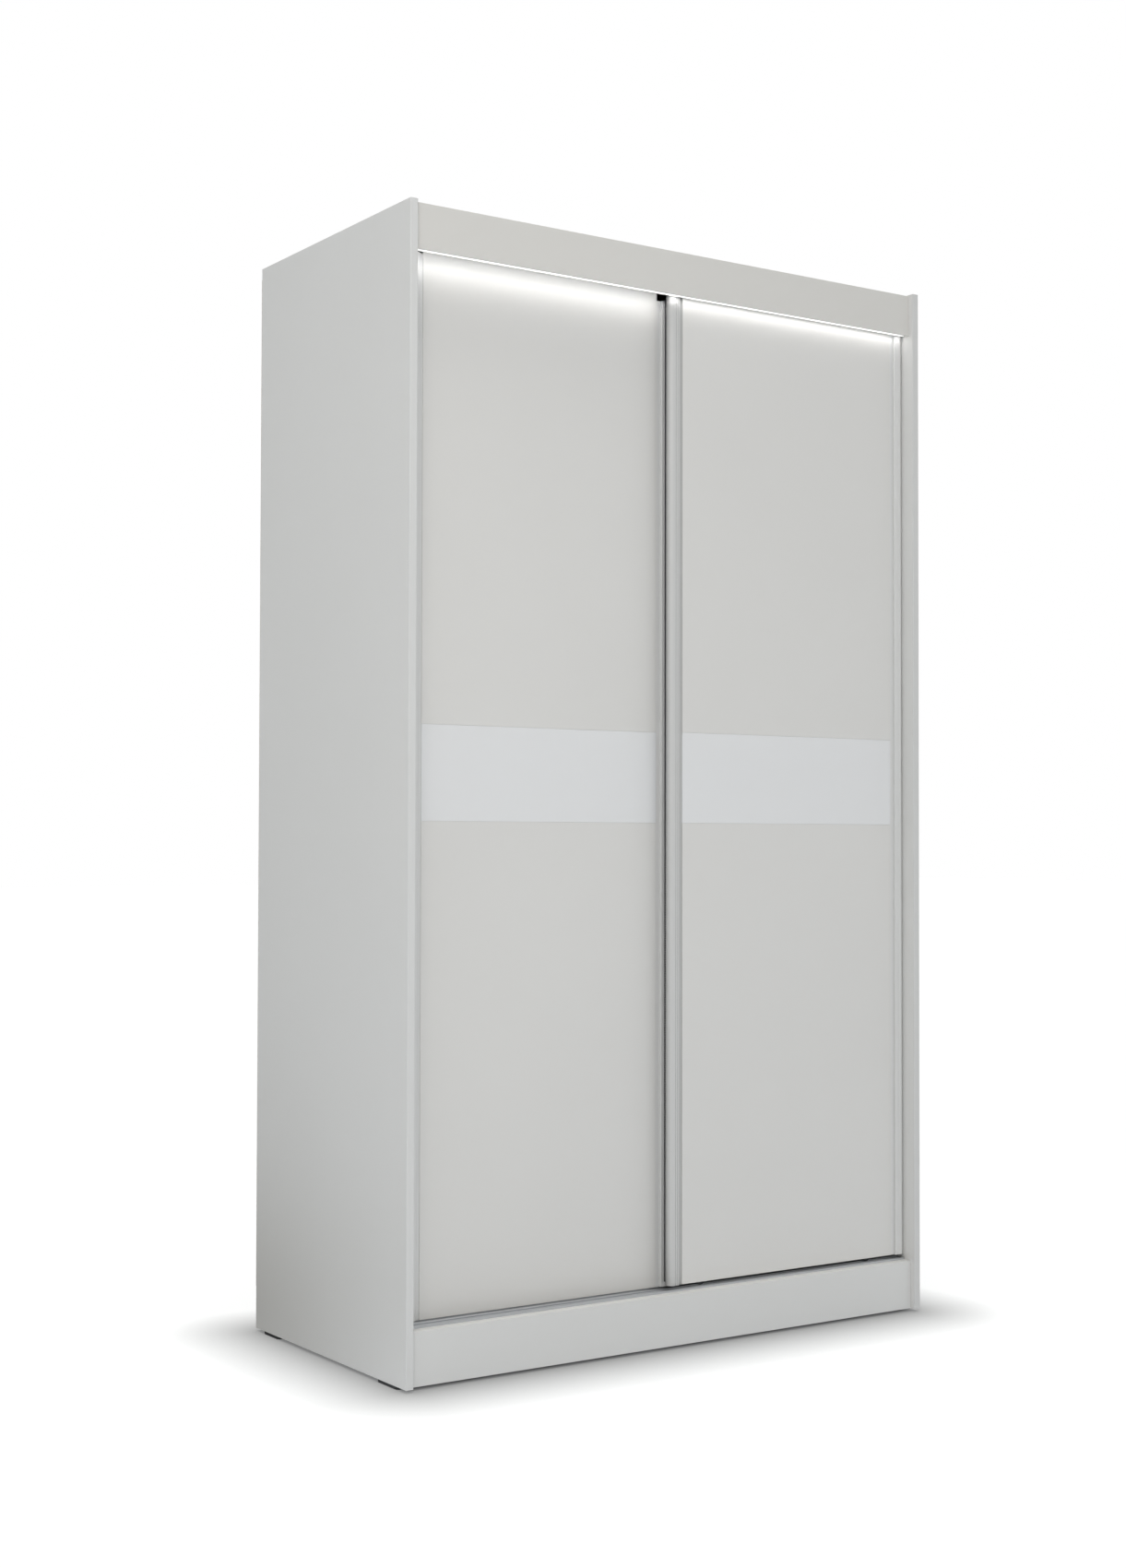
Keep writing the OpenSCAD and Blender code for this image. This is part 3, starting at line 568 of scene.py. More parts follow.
def banded_board(name, node, band_faces=((Y, -1),), arris=ARRIS, material=None, pockets=()):
    """A laminated board with glued bands on some of its edges, as (axis, direction) pairs.
    Pockets are upright round holes, as (centre, radius, depth)."""
    low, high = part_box(node)
    piece = block(name, low, high)
    add_finish(piece, material or laminate)
    banded = add_finish(piece, edging)
    for axis, way in band_faces:
        outer = high[axis] if way > 0 else low[axis]
        cut = outer - way * BAND
        place, normal = [0, 0, 0], [0, 0, 0]
        place[axis], normal[axis] = cut, 1
        edit(piece)
        whole()
        bpy.ops.mesh.bisect(plane_co=place, plane_no=normal)
        done()
        face_with(piece, banded, lambda c, n: (c[axis] - cut) * way > 0)
    for centre, radius, depth in pockets:
        drill(piece, centre, radius, depth, Z)
    break_edges(piece, arris)
    return settle(piece, "carcass", material, (node,))


def cam_pockets(face):
    """Pockets for the four cams in a face of the top or bottom board."""
    low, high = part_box("cam_locks")
    cam_r, pocket_r, deep = 7.3 * MM, 7.5 * MM, 12 * MM
    return [((x, y, face), pocket_r, 2 * deep)
            for x in (low.x + cam_r, high.x - cam_r) for y in (low.y + cam_r, high.y - cam_r)]


def screw_seats(face):
    """Seats for the heads of the partition's two screws in the top board."""
    low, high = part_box("partition_screws")
    head_r, seat_r, deep = 3.5 * MM, 3.8 * MM, 2 * MM
    return [((0, y, face), seat_r, 2 * deep) for y in (low.y + head_r, high.y - head_r)]


for side in ("left", "right"):
    banded_board(side + "_side_board", "side_panel_" + side, [(Z, 1), (Z, -1)], SEAM)
top_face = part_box("top_panel")[1].z
banded_board("top_board", "top_panel", pockets=cam_pockets(top_face) + screw_seats(top_face))
banded_board("bottom_board", "bottom_panel", pockets=cam_pockets(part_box("bottom_panel")[0].z))
banded_board("middle_partition", "centre_partition")
banded_board("plinth_board", "front_plinth", [(Z, 1)], 0.8 * MM)
banded_board("back_plinth_board", "rear_plinth", [(Z, 1)])
banded_board("underbody_brace", "base_stretcher", [(Z, 1)])
banded_board("hat_shelf", "right_shelf")
for number in range(1, 5):
    banded_board("linen_shelf_%d" % number, "left_shelf_%d" % number)


def front_edging(side):
    """The thick plastic band on a side board's front, with its two long corners well rounded."""
    node = "edging_" + side
    low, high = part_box(node)
    round_r = 1.4 * MM
    loop = ([(low.x, high.y), (low.x, low.y + round_r)]
            + arc((low.x + round_r, low.y + round_r), round_r, 180, 270, 6)[1:]
            + arc((high.x - round_r, low.y + round_r), round_r, 270, 360, 6) + [(high.x, high.y)])
    piece = extrusion(side + "_front_edging", [loop], Z, low.z, high.z)
    # The right edging takes the darker copy of the edging: painted shade.
    settle(piece, "carcass", edging if side == "left" else shaded_edging, (node,))


for side in ("left", "right"):
    front_edging(side)


def fascia_board():
    """The board over the doors, with the light's slot along its underside."""
    low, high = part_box("fascia")
    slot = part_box("led_channel")
    y0, y1, roof = slot[0].y, slot[1].y, slot[1].z
    loop = [(low.y, low.z), (y0, low.z), (y0, roof), (y1, roof), (y1, low.z), (high.y, low.z),
            (high.y, high.z), (low.y, high.z)]
    piece = extrusion("fascia_board", [loop], X, low.x, high.x)
    lead_at = high.x - LEAD_INSET
    half = 2.5 * MM
    chase = block("chase", (lead_at - half, between(y0, y1), low.z - MM),
                  (lead_at + half, high.y + MM, top_face + 8 * MM))
    combine(piece, chase, "DIFFERENCE")
    break_edges(piece, 0.6 * MM)
    settle(piece, "carcass", fascia_skin, ("fascia",))


fascia_board()


def back_sheet(side):
    """A thin hardboard sheet, lacquered white towards the inside and raw towards the wall."""
    node = "back_panel_" + side
    low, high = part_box(node)
    high.y -= PROUD
    piece = block(side + "_back_sheet", low, high)
    add_finish(piece, lacquer)
    raw = add_finish(piece, fibre)
    face_with(piece, raw, lambda c, n: n.y > -0.5)
    break_edges(piece, 0.3 * MM)
    settle(piece, "carcass", lacquer, (node,))


for side in ("left", "right"):
    back_sheet(side)


# ---------------------------------------------------------------- doors

GROOVE = 10 * MM       # sunk flange between a stile's bar and the panel
FLANGE = 12 * MM       # how far a stile's rear flange reaches behind the panel
SUNK = 5.5 * MM        # how deep the sunk flange lies
WALL = 2 * MM          # wall of the stile extrusion
LINES = 9.4 * MM, 4.8 * MM              # from the two fine lines of a stile to the groove
LINE_W, LINE_D = 0.8 * MM, 0.5 * MM     # width and depth of a line


def stile(name, node, body, way, panel_back):
    """A hollow round-nosed bar. Its section is drawn from its outer edge, and way is the
    direction along X that leads from that edge to the panel."""
    low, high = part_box(node)
    edge = low.x if way > 0 else high.x
    depth = high.y - low.y
    bar = high.x - low.x - GROOVE - FLANGE
    nose = depth / 2
    sheet = panel_back - low.y
    outline = arc((nose, nose), nose, 90, 270, 28)
    for at in (bar - LINES[0], bar - LINES[1]):
        outline += [(at, 0), (at + LINE_W / 4, LINE_D), (at + LINE_W * 3 / 4, LINE_D), (at + LINE_W, 0)]
    lap, far = bar + GROOVE, bar + GROOVE + FLANGE
    outline += [(bar - 0.6 * MM, 0), (bar, 0.6 * MM), (bar, SUNK), (lap, SUNK), (lap, sheet), (far, sheet),
                (far, sheet + WALL), (bar, sheet + WALL), (bar, depth)]
    chamber = arc((nose, nose), nose - WALL, 90, 270, 20) + [(bar - WALL, WALL), (bar - WALL, depth - WALL)]
    pocket = [(bar + WALL / 2, SUNK + WALL), (lap - WALL, SUNK + WALL), (lap - WALL, sheet), (bar + WALL / 2, sheet)]
    loops = [[(edge + way * u, low.y + v) for u, v in loop] for loop in (outline, chamber, pocket)]
    piece = extrusion(name, loops, Z, low.z, high.z)
    # The meeting stile takes the darker foil with painted shade.
    finish = shaded_foil if node == "right_door_inner_stile" else foil
    settle(piece, body, finish, (node,), smooth=30)


def door_leaf(side):
    """The board of a door, with a sunk bay across its face for the glass."""
    node = side + "_door_panel"
    low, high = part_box(node)
    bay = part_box(side + "_door_glass")
    loop = [(low.y, low.z), (low.y, bay[0].z), (bay[1].y, bay[0].z), (bay[1].y, bay[1].z),
            (low.y, bay[1].z), (low.y, high.z), (high.y, high.z), (high.y, low.z)]
    piece = extrusion(side + "_door_board", [loop], X, low.x, high.x)
    break_edges(piece, 0.3 * MM)
    settle(piece, side + "_door", door_board, (node,))
    return high.y


def door_glass(side):
    """The glossy strip, with a polished arris round its face."""
    node = side + "_door_glass"
    low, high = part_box(node)
    piece = block(side + "_glass_strip", low, high)
    pick_faces(piece, lambda c, n: n.y < -0.5)
    bpy.ops.mesh.bevel(offset=0.8 * MM, segments=3, affect="EDGES")
    done()
    settle(piece, side + "_door", glass, (node,))


for side, inward in (("left", 1), ("right", -1)):
    door = side + "_door"
    back_of_leaf = door_leaf(side)
    door_glass(side)
    stile(side + "_outer_stile", door + "_outer_stile", door, inward, back_of_leaf)
    stile(side + "_inner_stile", door + "_inner_stile", door, -inward, back_of_leaf)


# ---------------------------------------------------------------- tracks

wheel_runs = [between(*(c.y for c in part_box(side + "_door_outer_wheel"))) for side in ("right", "left")]


def bottom_rail():
    """The running rail: a ribbed bed, two round-topped ribs, edge lips and a middle ridge."""
    low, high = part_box("bottom_track")
    bed = low.z + 1.85 * MM
    lip = low.z + 4 * MM
    lip_w, slope = 1.6 * MM, 0.4 * MM
    gap = 0.5 * MM         # from a lip or the ridge to the first rib of the bed
    rib_r = 1.5 * MM
    pitch = 1.6 * MM

    def ribs(start, stop):
        count = int((stop - start) / pitch)
        for i in range(count):
            at = start + (i + 0.5) * (stop - start) / count
            yield from [(at - 0.5 * MM, bed), (at - 0.25 * MM, bed + 0.5 * MM),
                        (at + 0.25 * MM, bed + 0.5 * MM), (at + 0.5 * MM, bed)]

    ridge = between(*wheel_runs) + 5 * MM
    top = [(low.y, lip), (low.y + lip_w, lip), (low.y + lip_w + slope, bed)]
    at = low.y + lip_w + slope + gap
    for y in wheel_runs:
        top += list(ribs(at, y - rib_r - MM))
        top += [(y - rib_r, bed)] + arc((y, high.z - rib_r), rib_r, 180, 0, 10) + [(y + rib_r, bed)]
        at = y + rib_r + MM
        if y == wheel_runs[0]:
            top += list(ribs(at, ridge - gap))
            top += [(ridge, bed), (ridge + 0.3 * MM, lip), (ridge + 1.7 * MM, lip), (ridge + 2 * MM, bed)]
            at = ridge + 2 * MM + gap
    top += list(ribs(at, high.y - lip_w - slope - gap))
    top += [(high.y - lip_w - slope, bed), (high.y - lip_w, lip), (high.y, lip), (high.y, low.z), (low.y, low.z)]
    piece = extrusion("bottom_rail", [top], X, low.x, high.x)
    settle(piece, "carcass", aluminium, ("bottom_track",), smooth=30)


CHANNEL_HALF = 11 * MM     # from a wheel's run to the webs of the channel over it


def top_rail():
    """The top track: two channels side by side, with rounded lower edges."""
    low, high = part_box("top_track")
    roof = high.z - 2 * MM + PROUD
    loop = [(low.y, high.z), (low.y, roof)]
    for run in wheel_runs:
        for web in (run - CHANNEL_HALF, run + CHANNEL_HALF):
            loop += [(web - MM, roof), (web - MM, low.z + 0.4 * MM), (web - 0.6 * MM, low.z),
                     (web + 0.6 * MM, low.z), (web + MM, low.z + 0.4 * MM), (web + MM, roof)]
    loop[-1] = (high.y, high.z)
    piece = extrusion("top_rail", [loop], X, low.x, high.x)
    settle(piece, "carcass", aluminium, ("top_track",), smooth=30)


def end_buffers():
    """Rubber stops in the top track, each with a raised pad towards the door's guide."""
    low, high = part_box("track_buffers")
    wide, long = 16 * MM, 15 * MM
    parts = []
    for way in (1, -1):
        wall = low.x if way > 0 else high.x
        for y0, y1 in ((low.y, low.y + wide), (high.y - wide, high.y)):
            face = wall + way * long
            stop = block("stop", (min(wall, face), y0, low.z), (max(wall, face), y1, high.z))
            pick_faces(stop, lambda c, n: n.x * way > 0.5)
            bpy.ops.mesh.inset(thickness=2.5 * MM)
            bpy.ops.mesh.extrude_region_move(TRANSFORM_OT_translate={"value": (way * 1.5 * MM, 0, 0)})
            done()
            break_edges(stop, 0.6 * MM, 3)
            parts.append(stop)
    settle(gather("end_buffers", parts), "carcass", rubber, ("track_buffers",))


bottom_rail()
top_rail()
end_buffers()


# ---------------------------------------------------------------- light

def light_channel():
    """The aluminium channel in the fascia's slot."""
    low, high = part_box("led_channel")
    (y0, z0), (y1, z1), wall = low.yz, high.yz, 1 * MM
    loop = [(y0, z0), (y0, z1), (y1, z1), (y1, z0), (y1 - wall, z0), (y1 - wall, z1 - wall),
            (y0 + wall, z1 - wall), (y0 + wall, z0)]
    piece = extrusion("light_channel", [loop], X, low.x, high.x)
    break_edges(piece, 0.12 * MM, 1)
    settle(piece, "carcass", aluminium, ("led_channel",))


def light_lens():
    """The diffuser, with a shallow round face."""
    low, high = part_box("led_diffuser")
    middle, half, sag = between(low.y, high.y), (high.y - low.y) / 2, (high.z - low.z) / 2
    r = (half ** 2 + sag ** 2) / (2 * sag)
    swing = math.degrees(math.asin(half / r))
    loop = [(low.y, high.z)] + arc((middle, low.z + r), r, 270 - swing, 270 + swing, 12) + [(high.y, high.z)]
    piece = extrusion("light_lens", [loop], X, low.x, high.x)
    settle(piece, "carcass", lens_light, ("led_diffuser",))


def light_strip():
    """A flexible board with a row of chips on its underside."""
    low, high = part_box("led_strip")
    tape = block("tape", (low.x, low.y, low.z + 0.6 * MM), high)
    break_edges(tape, 0.1 * MM, 1)
    middle = between(low.y, high.y)
    half, margin, pitch = 1.4 * MM, 6 * MM, 16.6 * MM
    chip = block("chip", (low.x + margin, middle - half, low.z),
                 (low.x + margin + 3.5 * MM, middle + half, low.z + 0.7 * MM))
    break_edges(chip, 0.2 * MM, 1)
    repeat(chip, int((high.x - low.x - 2 * margin) / pitch), (pitch, 0, 0))
    settle(gather("light_tape", [tape, chip]), "carcass", chip_light, ("led_strip",))


def light_driver():
    """The driver box: rounded case, cooling slots in its lid, a socket with two pins at one
    end and a grommet for the lead at the other."""
    low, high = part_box("led_driver")
    middle, level = between(low.y, high.y), between(low.z, high.z)
    mouth_deep, pin_r, pin_long, vent = 12 * MM, 1.1 * MM, 8.6 * MM, 2 * MM
    case = extrusion("light_driver", [soft_corners(low.yz, high.yz, 2.5 * MM)], X, low.x, high.x)
    rim = soft_corners((middle - 9 * MM, level - 4.5 * MM), (middle + 9 * MM, level + 4.5 * MM), 3 * MM)
    combine(case, extrusion("mouth", [rim], X, low.x - MM, low.x + mouth_deep), "DIFFERENCE")
    slot = extrusion("slot", [stadium((middle, high.z), 26 * MM, 1.6 * MM, 6)], X, low.x + 34 * MM,
                     low.x + 34 * MM + vent)
    repeat(slot, 9, (5 * MM, 0, 0))
    combine(case, slot, "DIFFERENCE")
    break_edges(case, 0.4 * MM)
    tip = [(pin_r, pin_long - 0.6 * MM), (0.6 * MM, pin_long), (0, pin_long)]
    pins = [turned("pin", [(0, 0), (pin_r, 0)] + tip,
                   (low.x + mouth_deep - pin_long, middle + way * 4 * MM, level), X, steps=16) for way in (-1, 1)]
    sleeve = [(1.4 * MM, -MM), (3.4 * MM, -MM), (3.4 * MM, 0.8 * MM), (2.6 * MM, 1.4 * MM), (2.2 * MM, 6 * MM),
              (1.4 * MM, 6 * MM)]
    grommet = turned("grommet", sleeve, (high.x, middle, level), X, closed=True)
    settle(gather("light_driver", [case, grommet] + pins), "carcass", plastic, ("led_driver",))


LEAD_R = 1.4 * MM


def light_lead():
    """The low-voltage lead, drawn as a smooth line and given its thickness."""
    channel, board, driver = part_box("led_channel"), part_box("top_panel"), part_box("led_driver")
    r = LEAD_R
    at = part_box("fascia")[1].x - LEAD_INSET
    slot_y = between(channel[0].y, channel[1].y)
    z0 = channel[0].z + 3.4 * MM
    back = board[0].y - r - 0.6 * MM
    over = top_face + r
    crest = top_face + 4.5 * MM
    level = between(driver[0].z, driver[1].z)
    middle = between(driver[0].y, driver[1].y)
    end = driver[1].x
    route = [(at - 13 * MM, slot_y, z0), (at - 4 * MM, slot_y, z0), (at - MM, slot_y + 0.5 * MM, z0 + 1.5 * MM),
             (at, slot_y + 2.5 * MM, z0 + 5 * MM), (at, back, z0 + 12 * MM), (at, back, top_face + MM),
             (at, back + 1.5 * MM, crest - 0.7 * MM), (at, back + 5 * MM, crest), (at, back + 14 * MM, over),
             (at, middle - 20 * MM, over), (at - 4 * MM, middle - 6 * MM, over), (at - 14 * MM, middle, over),
             (end + 30 * MM, middle, over), (end + 14 * MM, middle, level), (end - MM, middle, level)]
    piece = blank("light_lead")
    trace([Vector(p) for p in route], closed=False)
    weld(0.01 * MM)
    done()
    only(piece)
    bpy.ops.object.convert(target="CURVE")
    bpy.ops.object.mode_set(mode="EDIT")
    bpy.ops.curve.select_all(action="SELECT")
    bpy.ops.curve.spline_type_set(type="BEZIER")
    bpy.ops.curve.handle_type_set(type="AUTOMATIC")
    done()
    line = bpy.context.object
    line.data.resolution_u = 8
    line.data.bevel_depth = r
    line.data.bevel_resolution = 4
    line.data.use_fill_caps = True
    bpy.ops.object.convert(target="MESH")
    piece = bpy.context.object
    edit(piece)
    weld(0.001 * MM)
    bpy.ops.mesh.normals_make_consistent(inside=False)
    done()
    settle(piece, "carcass", plastic, ("led_lead",))


def cable_clips():
    """Two saddles that hold the lead down on the top board."""
    low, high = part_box("lead_clips")
    at, wide = between(low.x, high.x), 6 * MM
    wing = [(4.5 * MM, 0), (4.5 * MM, 0.9 * MM), (3.2 * MM, 1.1 * MM)]
    arch = arc((0, LEAD_R), 2.8 * MM, 170, 10, 14)
    bore = arc((0, LEAD_R), LEAD_R + 0.03 * MM, 0, 180, 14)
    loop = ([(-x, z) for x, z in wing] + arch + wing[::-1] + [(bore[0][0], 0)] + bore + [(bore[-1][0], 0)])
    loop = [(at + x, low.z + z) for x, z in loop]
    first = extrusion("clip", [loop], Y, low.y, low.y + wide)
    break_edges(first, 0.2 * MM)
    parts = copies(first, [(0, high.y - low.y - wide, 0)])
    settle(gather("cable_clips", parts), "carcass", plastic, ("lead_clips",))


light_channel()
light_lens()
light_strip()
light_driver()
light_lead()
cable_clips()


# ---------------------------------------------------------------- fittings of the carcass

SCREW_HOLE = 1.85 * MM     # radius of a hole for a screw


def wardrobe_rail():
    """The oval tube that clothes hang from."""
    low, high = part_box("hanging_rail")
    centre = (between(low.y, high.y), between(low.z, high.z))
    tall, wide = high.z - low.z, high.y - low.y
    loops = [[(y, z) for z, y in stadium((centre[1], centre[0]), tall - 2 * skin, wide - 2 * skin, 20)]
             for skin in (0, 1 * MM)]
    piece = extrusion("wardrobe_rail", loops, X, low.x, high.x)
    break_edges(piece, 0.2 * MM, 1, sharper_than=60)
    settle(piece, "carcass", chrome, ("hanging_rail",))


def rail_cups():
    """A screwed plate with a cup at each end of the rail."""
    low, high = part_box("rail_brackets")
    y, z = between(low.y, high.y), between(low.z, high.z)
    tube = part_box("hanging_rail")
    tall, wide = tube[1].z - tube[0].z, tube[1].y - tube[0].y

    def oval(length, width):
        return [(b, a) for a, b in stadium((z, y), length, width, 18)]

    parts = []
    for way, wall in ((1, low.x), (-1, high.x)):
        near, far = sorted((wall, wall + way * (3 * MM - PROUD)))
        holes = [circle((y, z + side * 25 * MM), SCREW_HOLE) for side in (-1, 1)]
        plate = extrusion("plate", [oval(high.z - low.z, high.y - low.y)] + holes, X, near, far)
        near, far = sorted((wall + way * 2 * MM, wall + way * 17 * MM))
        rings = [oval(tall + room, wide + room) for room in (4 * MM, 0.4 * MM)]
        cup = extrusion("cup", rings, X, near, far)
        combine(plate, cup, "UNION")
        break_edges(plate, 0.3 * MM, 2, sharper_than=60)
        parts.append(plate)
    settle(gather("rail_cups", parts), "carcass", zinc, ("rail_brackets",))


def wall_angles():
    """Two angle plates on the top board, each with a hole for a screw into the wall."""
    low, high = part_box("wall_brackets")
    thick, half, inset = 2 * MM, 20 * MM, 0.4 * MM     # the leaf is inset in the foot, for a clean weld
    at = low.x + half
    leaf = extrusion("leaf", [soft_corners((at - half + inset, low.z + inset), (at + half - inset, high.z), 1.5 * MM),
                              circle((at, low.z + 11 * MM), 2.75 * MM)], Y, high.y - thick, high.y)
    holes = [circle((at + x, between(low.y, high.y)), SCREW_HOLE) for x in (-10 * MM, 10 * MM)]
    foot = extrusion("foot", [soft_corners((at - half, low.y), (at + half, high.y - MM), 1.2 * MM)] + holes,
                     Z, low.z, low.z + thick - PROUD)
    combine(leaf, foot, "UNION")
    break_edges(leaf, 0.25 * MM, 2, sharper_than=50)
    parts = copies(leaf, [(-2 * at, 0, 0)])
    settle(gather("wall_angles", parts), "carcass", zinc, ("wall_brackets",))


def feet():
    """Round-ended glides with softened soles."""
    low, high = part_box("glides")
    wide, front, rear = 14 * MM, 75 * MM, 65 * MM
    out = high.x - wide / 2
    places = [(out, low.y, front), (-out, low.y, front), (out, high.y - rear, rear), (-out, high.y - rear, rear),
              (0, low.y + 13 * MM, front), (0, high.y - 118 * MM, rear)]
    parts = []
    for x, y, long in places:
        loop = [(b, a) for a, b in stadium((y + long / 2, x), long, wide, 14)]
        foot = extrusion("foot", [loop], Z, low.z, high.z)
        break_edges(foot, 1.0 * MM, 3, sharper_than=60)
        parts.append(foot)
    settle(gather("floor_glides", parts), "carcass", rubber, ("glides",))


def shelf_supports():
    """Steel pins with a collar, two at each end of every shelf."""
    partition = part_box("centre_partition")
    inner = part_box("fascia")[1].x
    r = 2.5 * MM
    profile = [(0, -7 * MM), (r, -7 * MM), (r, 0), (3.6 * MM, 0), (3.6 * MM, 0.5 * MM), (3.3 * MM, 0.8 * MM),
               (r, 0.8 * MM), (r, 7 * MM), (1.9 * MM, 7.8 * MM), (0, 8 * MM)]
    mirrored = [(radius, -step) for radius, step in profile]
    parts = []
    for nodes, faces in ((["left_shelf_%d" % i for i in range(1, 5)], (-inner, partition[0].x)),
                         (["right_shelf"], (partition[1].x, inner))):
        for face, line in zip(faces, (profile, mirrored)):
            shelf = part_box(nodes[0])
            front, rear = shelf[0].y + 50 * MM, shelf[1].y - 50 * MM
            level = shelf[0].z - r
            first = turned("pin", line, (face, front, level), X, steps=18)
            steps = [(0, y - front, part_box(node)[0].z - shelf[0].z) for node in nodes for y in (front, rear)]
            parts += copies(first, steps[1:])
    settle(gather("shelf_supports", parts), "carcass", zinc, ("shelf_pins",))


wardrobe_rail()
rail_cups()
wall_angles()
feet()
shelf_supports()


# ---------------------------------------------------------------- running gear of the doors

def rolling_wheel(node):
    """A grooved wheel with a dished web and softened rims."""
    low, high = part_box(node)
    rim, half = (high.z - low.z) / 2, (high.y - low.y) / 2
    web = half - 0.7 * MM
    one_side = [(3.05 * MM, half), (5.4 * MM, half), (5.9 * MM, web), (rim - 4 * MM, web), (rim - 3.4 * MM, half),
                (rim - 0.5 * MM, half), (rim, half - 0.5 * MM), (rim, 2.5 * MM), (rim - 0.4 * MM, 2.1 * MM),
                (rim - 2.2 * MM, 2.1 * MM)]
    profile = one_side + [(r, -step) for r, step in reversed(one_side)]
    centre = [between(a, b) for a, b in zip(low, high)]
    piece = turned(node + "_turned", profile, centre, Y, closed=True, steps=64)
    settle(piece, node, nylon, (node,), smooth=35)
    return centre


def wheel_axles(door, wheels):
    low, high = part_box(door + "_axles")
    half = (high.y - low.y) / 2
    r, arris = 3 * MM, 0.5 * MM
    profile = [(0, -half), (r - arris, -half), (r, arris - half), (r, half - arris), (r - arris, half), (0, half)]
    parts = [turned("axle", profile, (x, between(low.y, high.y), z), Y) for x, y, z in wheels]
    settle(gather(door + "_wheel_axles", parts), door, zinc, (door + "_axles",))


def wheel_boxes(door, wheels):
    """A housing round each wheel, open below, with bores for the axle and two screws."""
    low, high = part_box(door + "_roller_housings")
    wide, free, wall = 26.2 * MM, 19.2 * MM, 3 * MM     # half widths of the box and of the room in it

    def arch(x, half, bottom, roof, r, steps):
        """An upright outline with two round upper corners."""
        return ([(x - half, bottom), (x + half, bottom)] + arc((x + half - r, roof - r), r, 0, 90, steps)
                + arc((x - half + r, roof - r), r, 90, 180, steps))

    parts = []
    for x, y, z in wheels:
        screws = [circle((x + way * 20.2 * MM, high.z - 9 * MM), SCREW_HOLE) for way in (-1, 1)]
        outline = arch(x, wide, low.z, high.z, 6 * MM, 8)
        shell = extrusion("shell", [outline, circle((x, z), 3 * MM)] + screws, Y, low.y, high.y - PROUD)
        hollow = arch(x, free, low.z - MM, z + 16.2 * MM, 4 * MM, 6)
        combine(shell, extrusion("room", [hollow], Y, low.y + wall, high.y - wall), "DIFFERENCE")
        break_edges(shell, 0.3 * MM, 2, sharper_than=60)
        parts.append(shell)
    settle(gather(door + "_wheel_boxes", parts), door, nylon, (door + "_roller_housings",))


def track_guides(door):
    """A foot screwed to the leaf's back at each top corner, with a round-cornered fin above it."""
    low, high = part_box(door + "_top_guides")
    leaf_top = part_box(door + "_panel")[1].z
    long, inset = 109 * MM, 0.5 * MM     # the fin ends a little short of the foot, for a clean weld
    parts = []
    for way, outer in ((1, low.x), (-1, high.x)):
        x0, x1 = sorted((outer, outer + way * (long - inset)))
        loop = soft_corners((x0, low.y + 0.3 * MM), (x1, high.y), 4 * MM)
        fin = extrusion("fin", [loop], Z, leaf_top + 2 * MM, high.z)
        x0, x1 = sorted((outer + way * 49 * MM, outer + way * long))
        outline = ([(x1, leaf_top + 3 * MM), (x0, leaf_top + 3 * MM)]
                   + arc((x0 + 5 * MM, low.z + 5 * MM), 5 * MM, 180, 270, 6)
                   + arc((x1 - 5 * MM, low.z + 5 * MM), 5 * MM, 270, 360, 6))
        foot = extrusion("foot", [outline], Y, low.y, low.y + 5 * MM - PROUD)
        combine(fin, foot, "UNION")
        break_edges(fin, 0.4 * MM, 2, sharper_than=60)
        parts.append(fin)
    settle(gather(door + "_track_guides", parts), door, nylon, (door + "_top_guides",))


def draught_brush():
    """A backing strip with a row of tapered tufts."""
    low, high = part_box("right_door_brush")
    at, pitch, half = between(low.x, high.x), 3 * MM, 1.2 * MM
    flank = [(4 * MM, 0), (4 * MM, 1.2 * MM), (1.8 * MM, 1.2 * MM), (1.4 * MM, 2 * MM)]
    loop = [(at - x, low.y + y) for x, y in flank] + [(at + x, low.y + y) for x, y in reversed(flank)]
    backing = extrusion("backing", [loop], Z, low.z, high.z)
    tuft = block("tuft", (at - half, low.y + 1.6 * MM, low.z + 0.4 * MM),
                 (at + half, low.y + 3 * MM, low.z + 1.8 * MM))
    pick_faces(tuft, lambda c, n: n.y > 0.5)
    for grow, share in ((1.35, 0.45), (1.15, 0.4), (0.75, 0.15)):
        rise = (high.y - low.y - 3 * MM) * share
        bpy.ops.mesh.extrude_region_move(TRANSFORM_OT_translate={"value": (0, rise, 0)})
        bpy.ops.transform.resize(value=(grow, 1, grow))
    done()
    repeat(tuft, int((high.z - low.z - 2 * MM) / pitch), (0, 0, pitch))
    settle(gather("draught_brush", [backing, tuft]), "right_door", bristle, ("right_door_brush",))


for side in ("left", "right"):
    door = side + "_door"
    wheels = [rolling_wheel(door + end) for end in ("_outer_wheel", "_inner_wheel")]
    wheel_axles(door, wheels)
    wheel_boxes(door, wheels)
    track_guides(door)
draught_brush()


# ---------------------------------------------------------------- screws, nails and cams

def keep_node(node, material):
    """A node of the frame whose shape is right gets its finish."""
    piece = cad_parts[node]
    piece.data.materials.clear()
    piece.data.materials.append(material)


for node in ("track_screws", "bracket_screws", "back_nails", "cam_locks", "cam_bolts", "partition_screws",
             "left_door_screws", "right_door_screws"):
    keep_node(node, zinc)


# ---------------------------------------------------------------- room

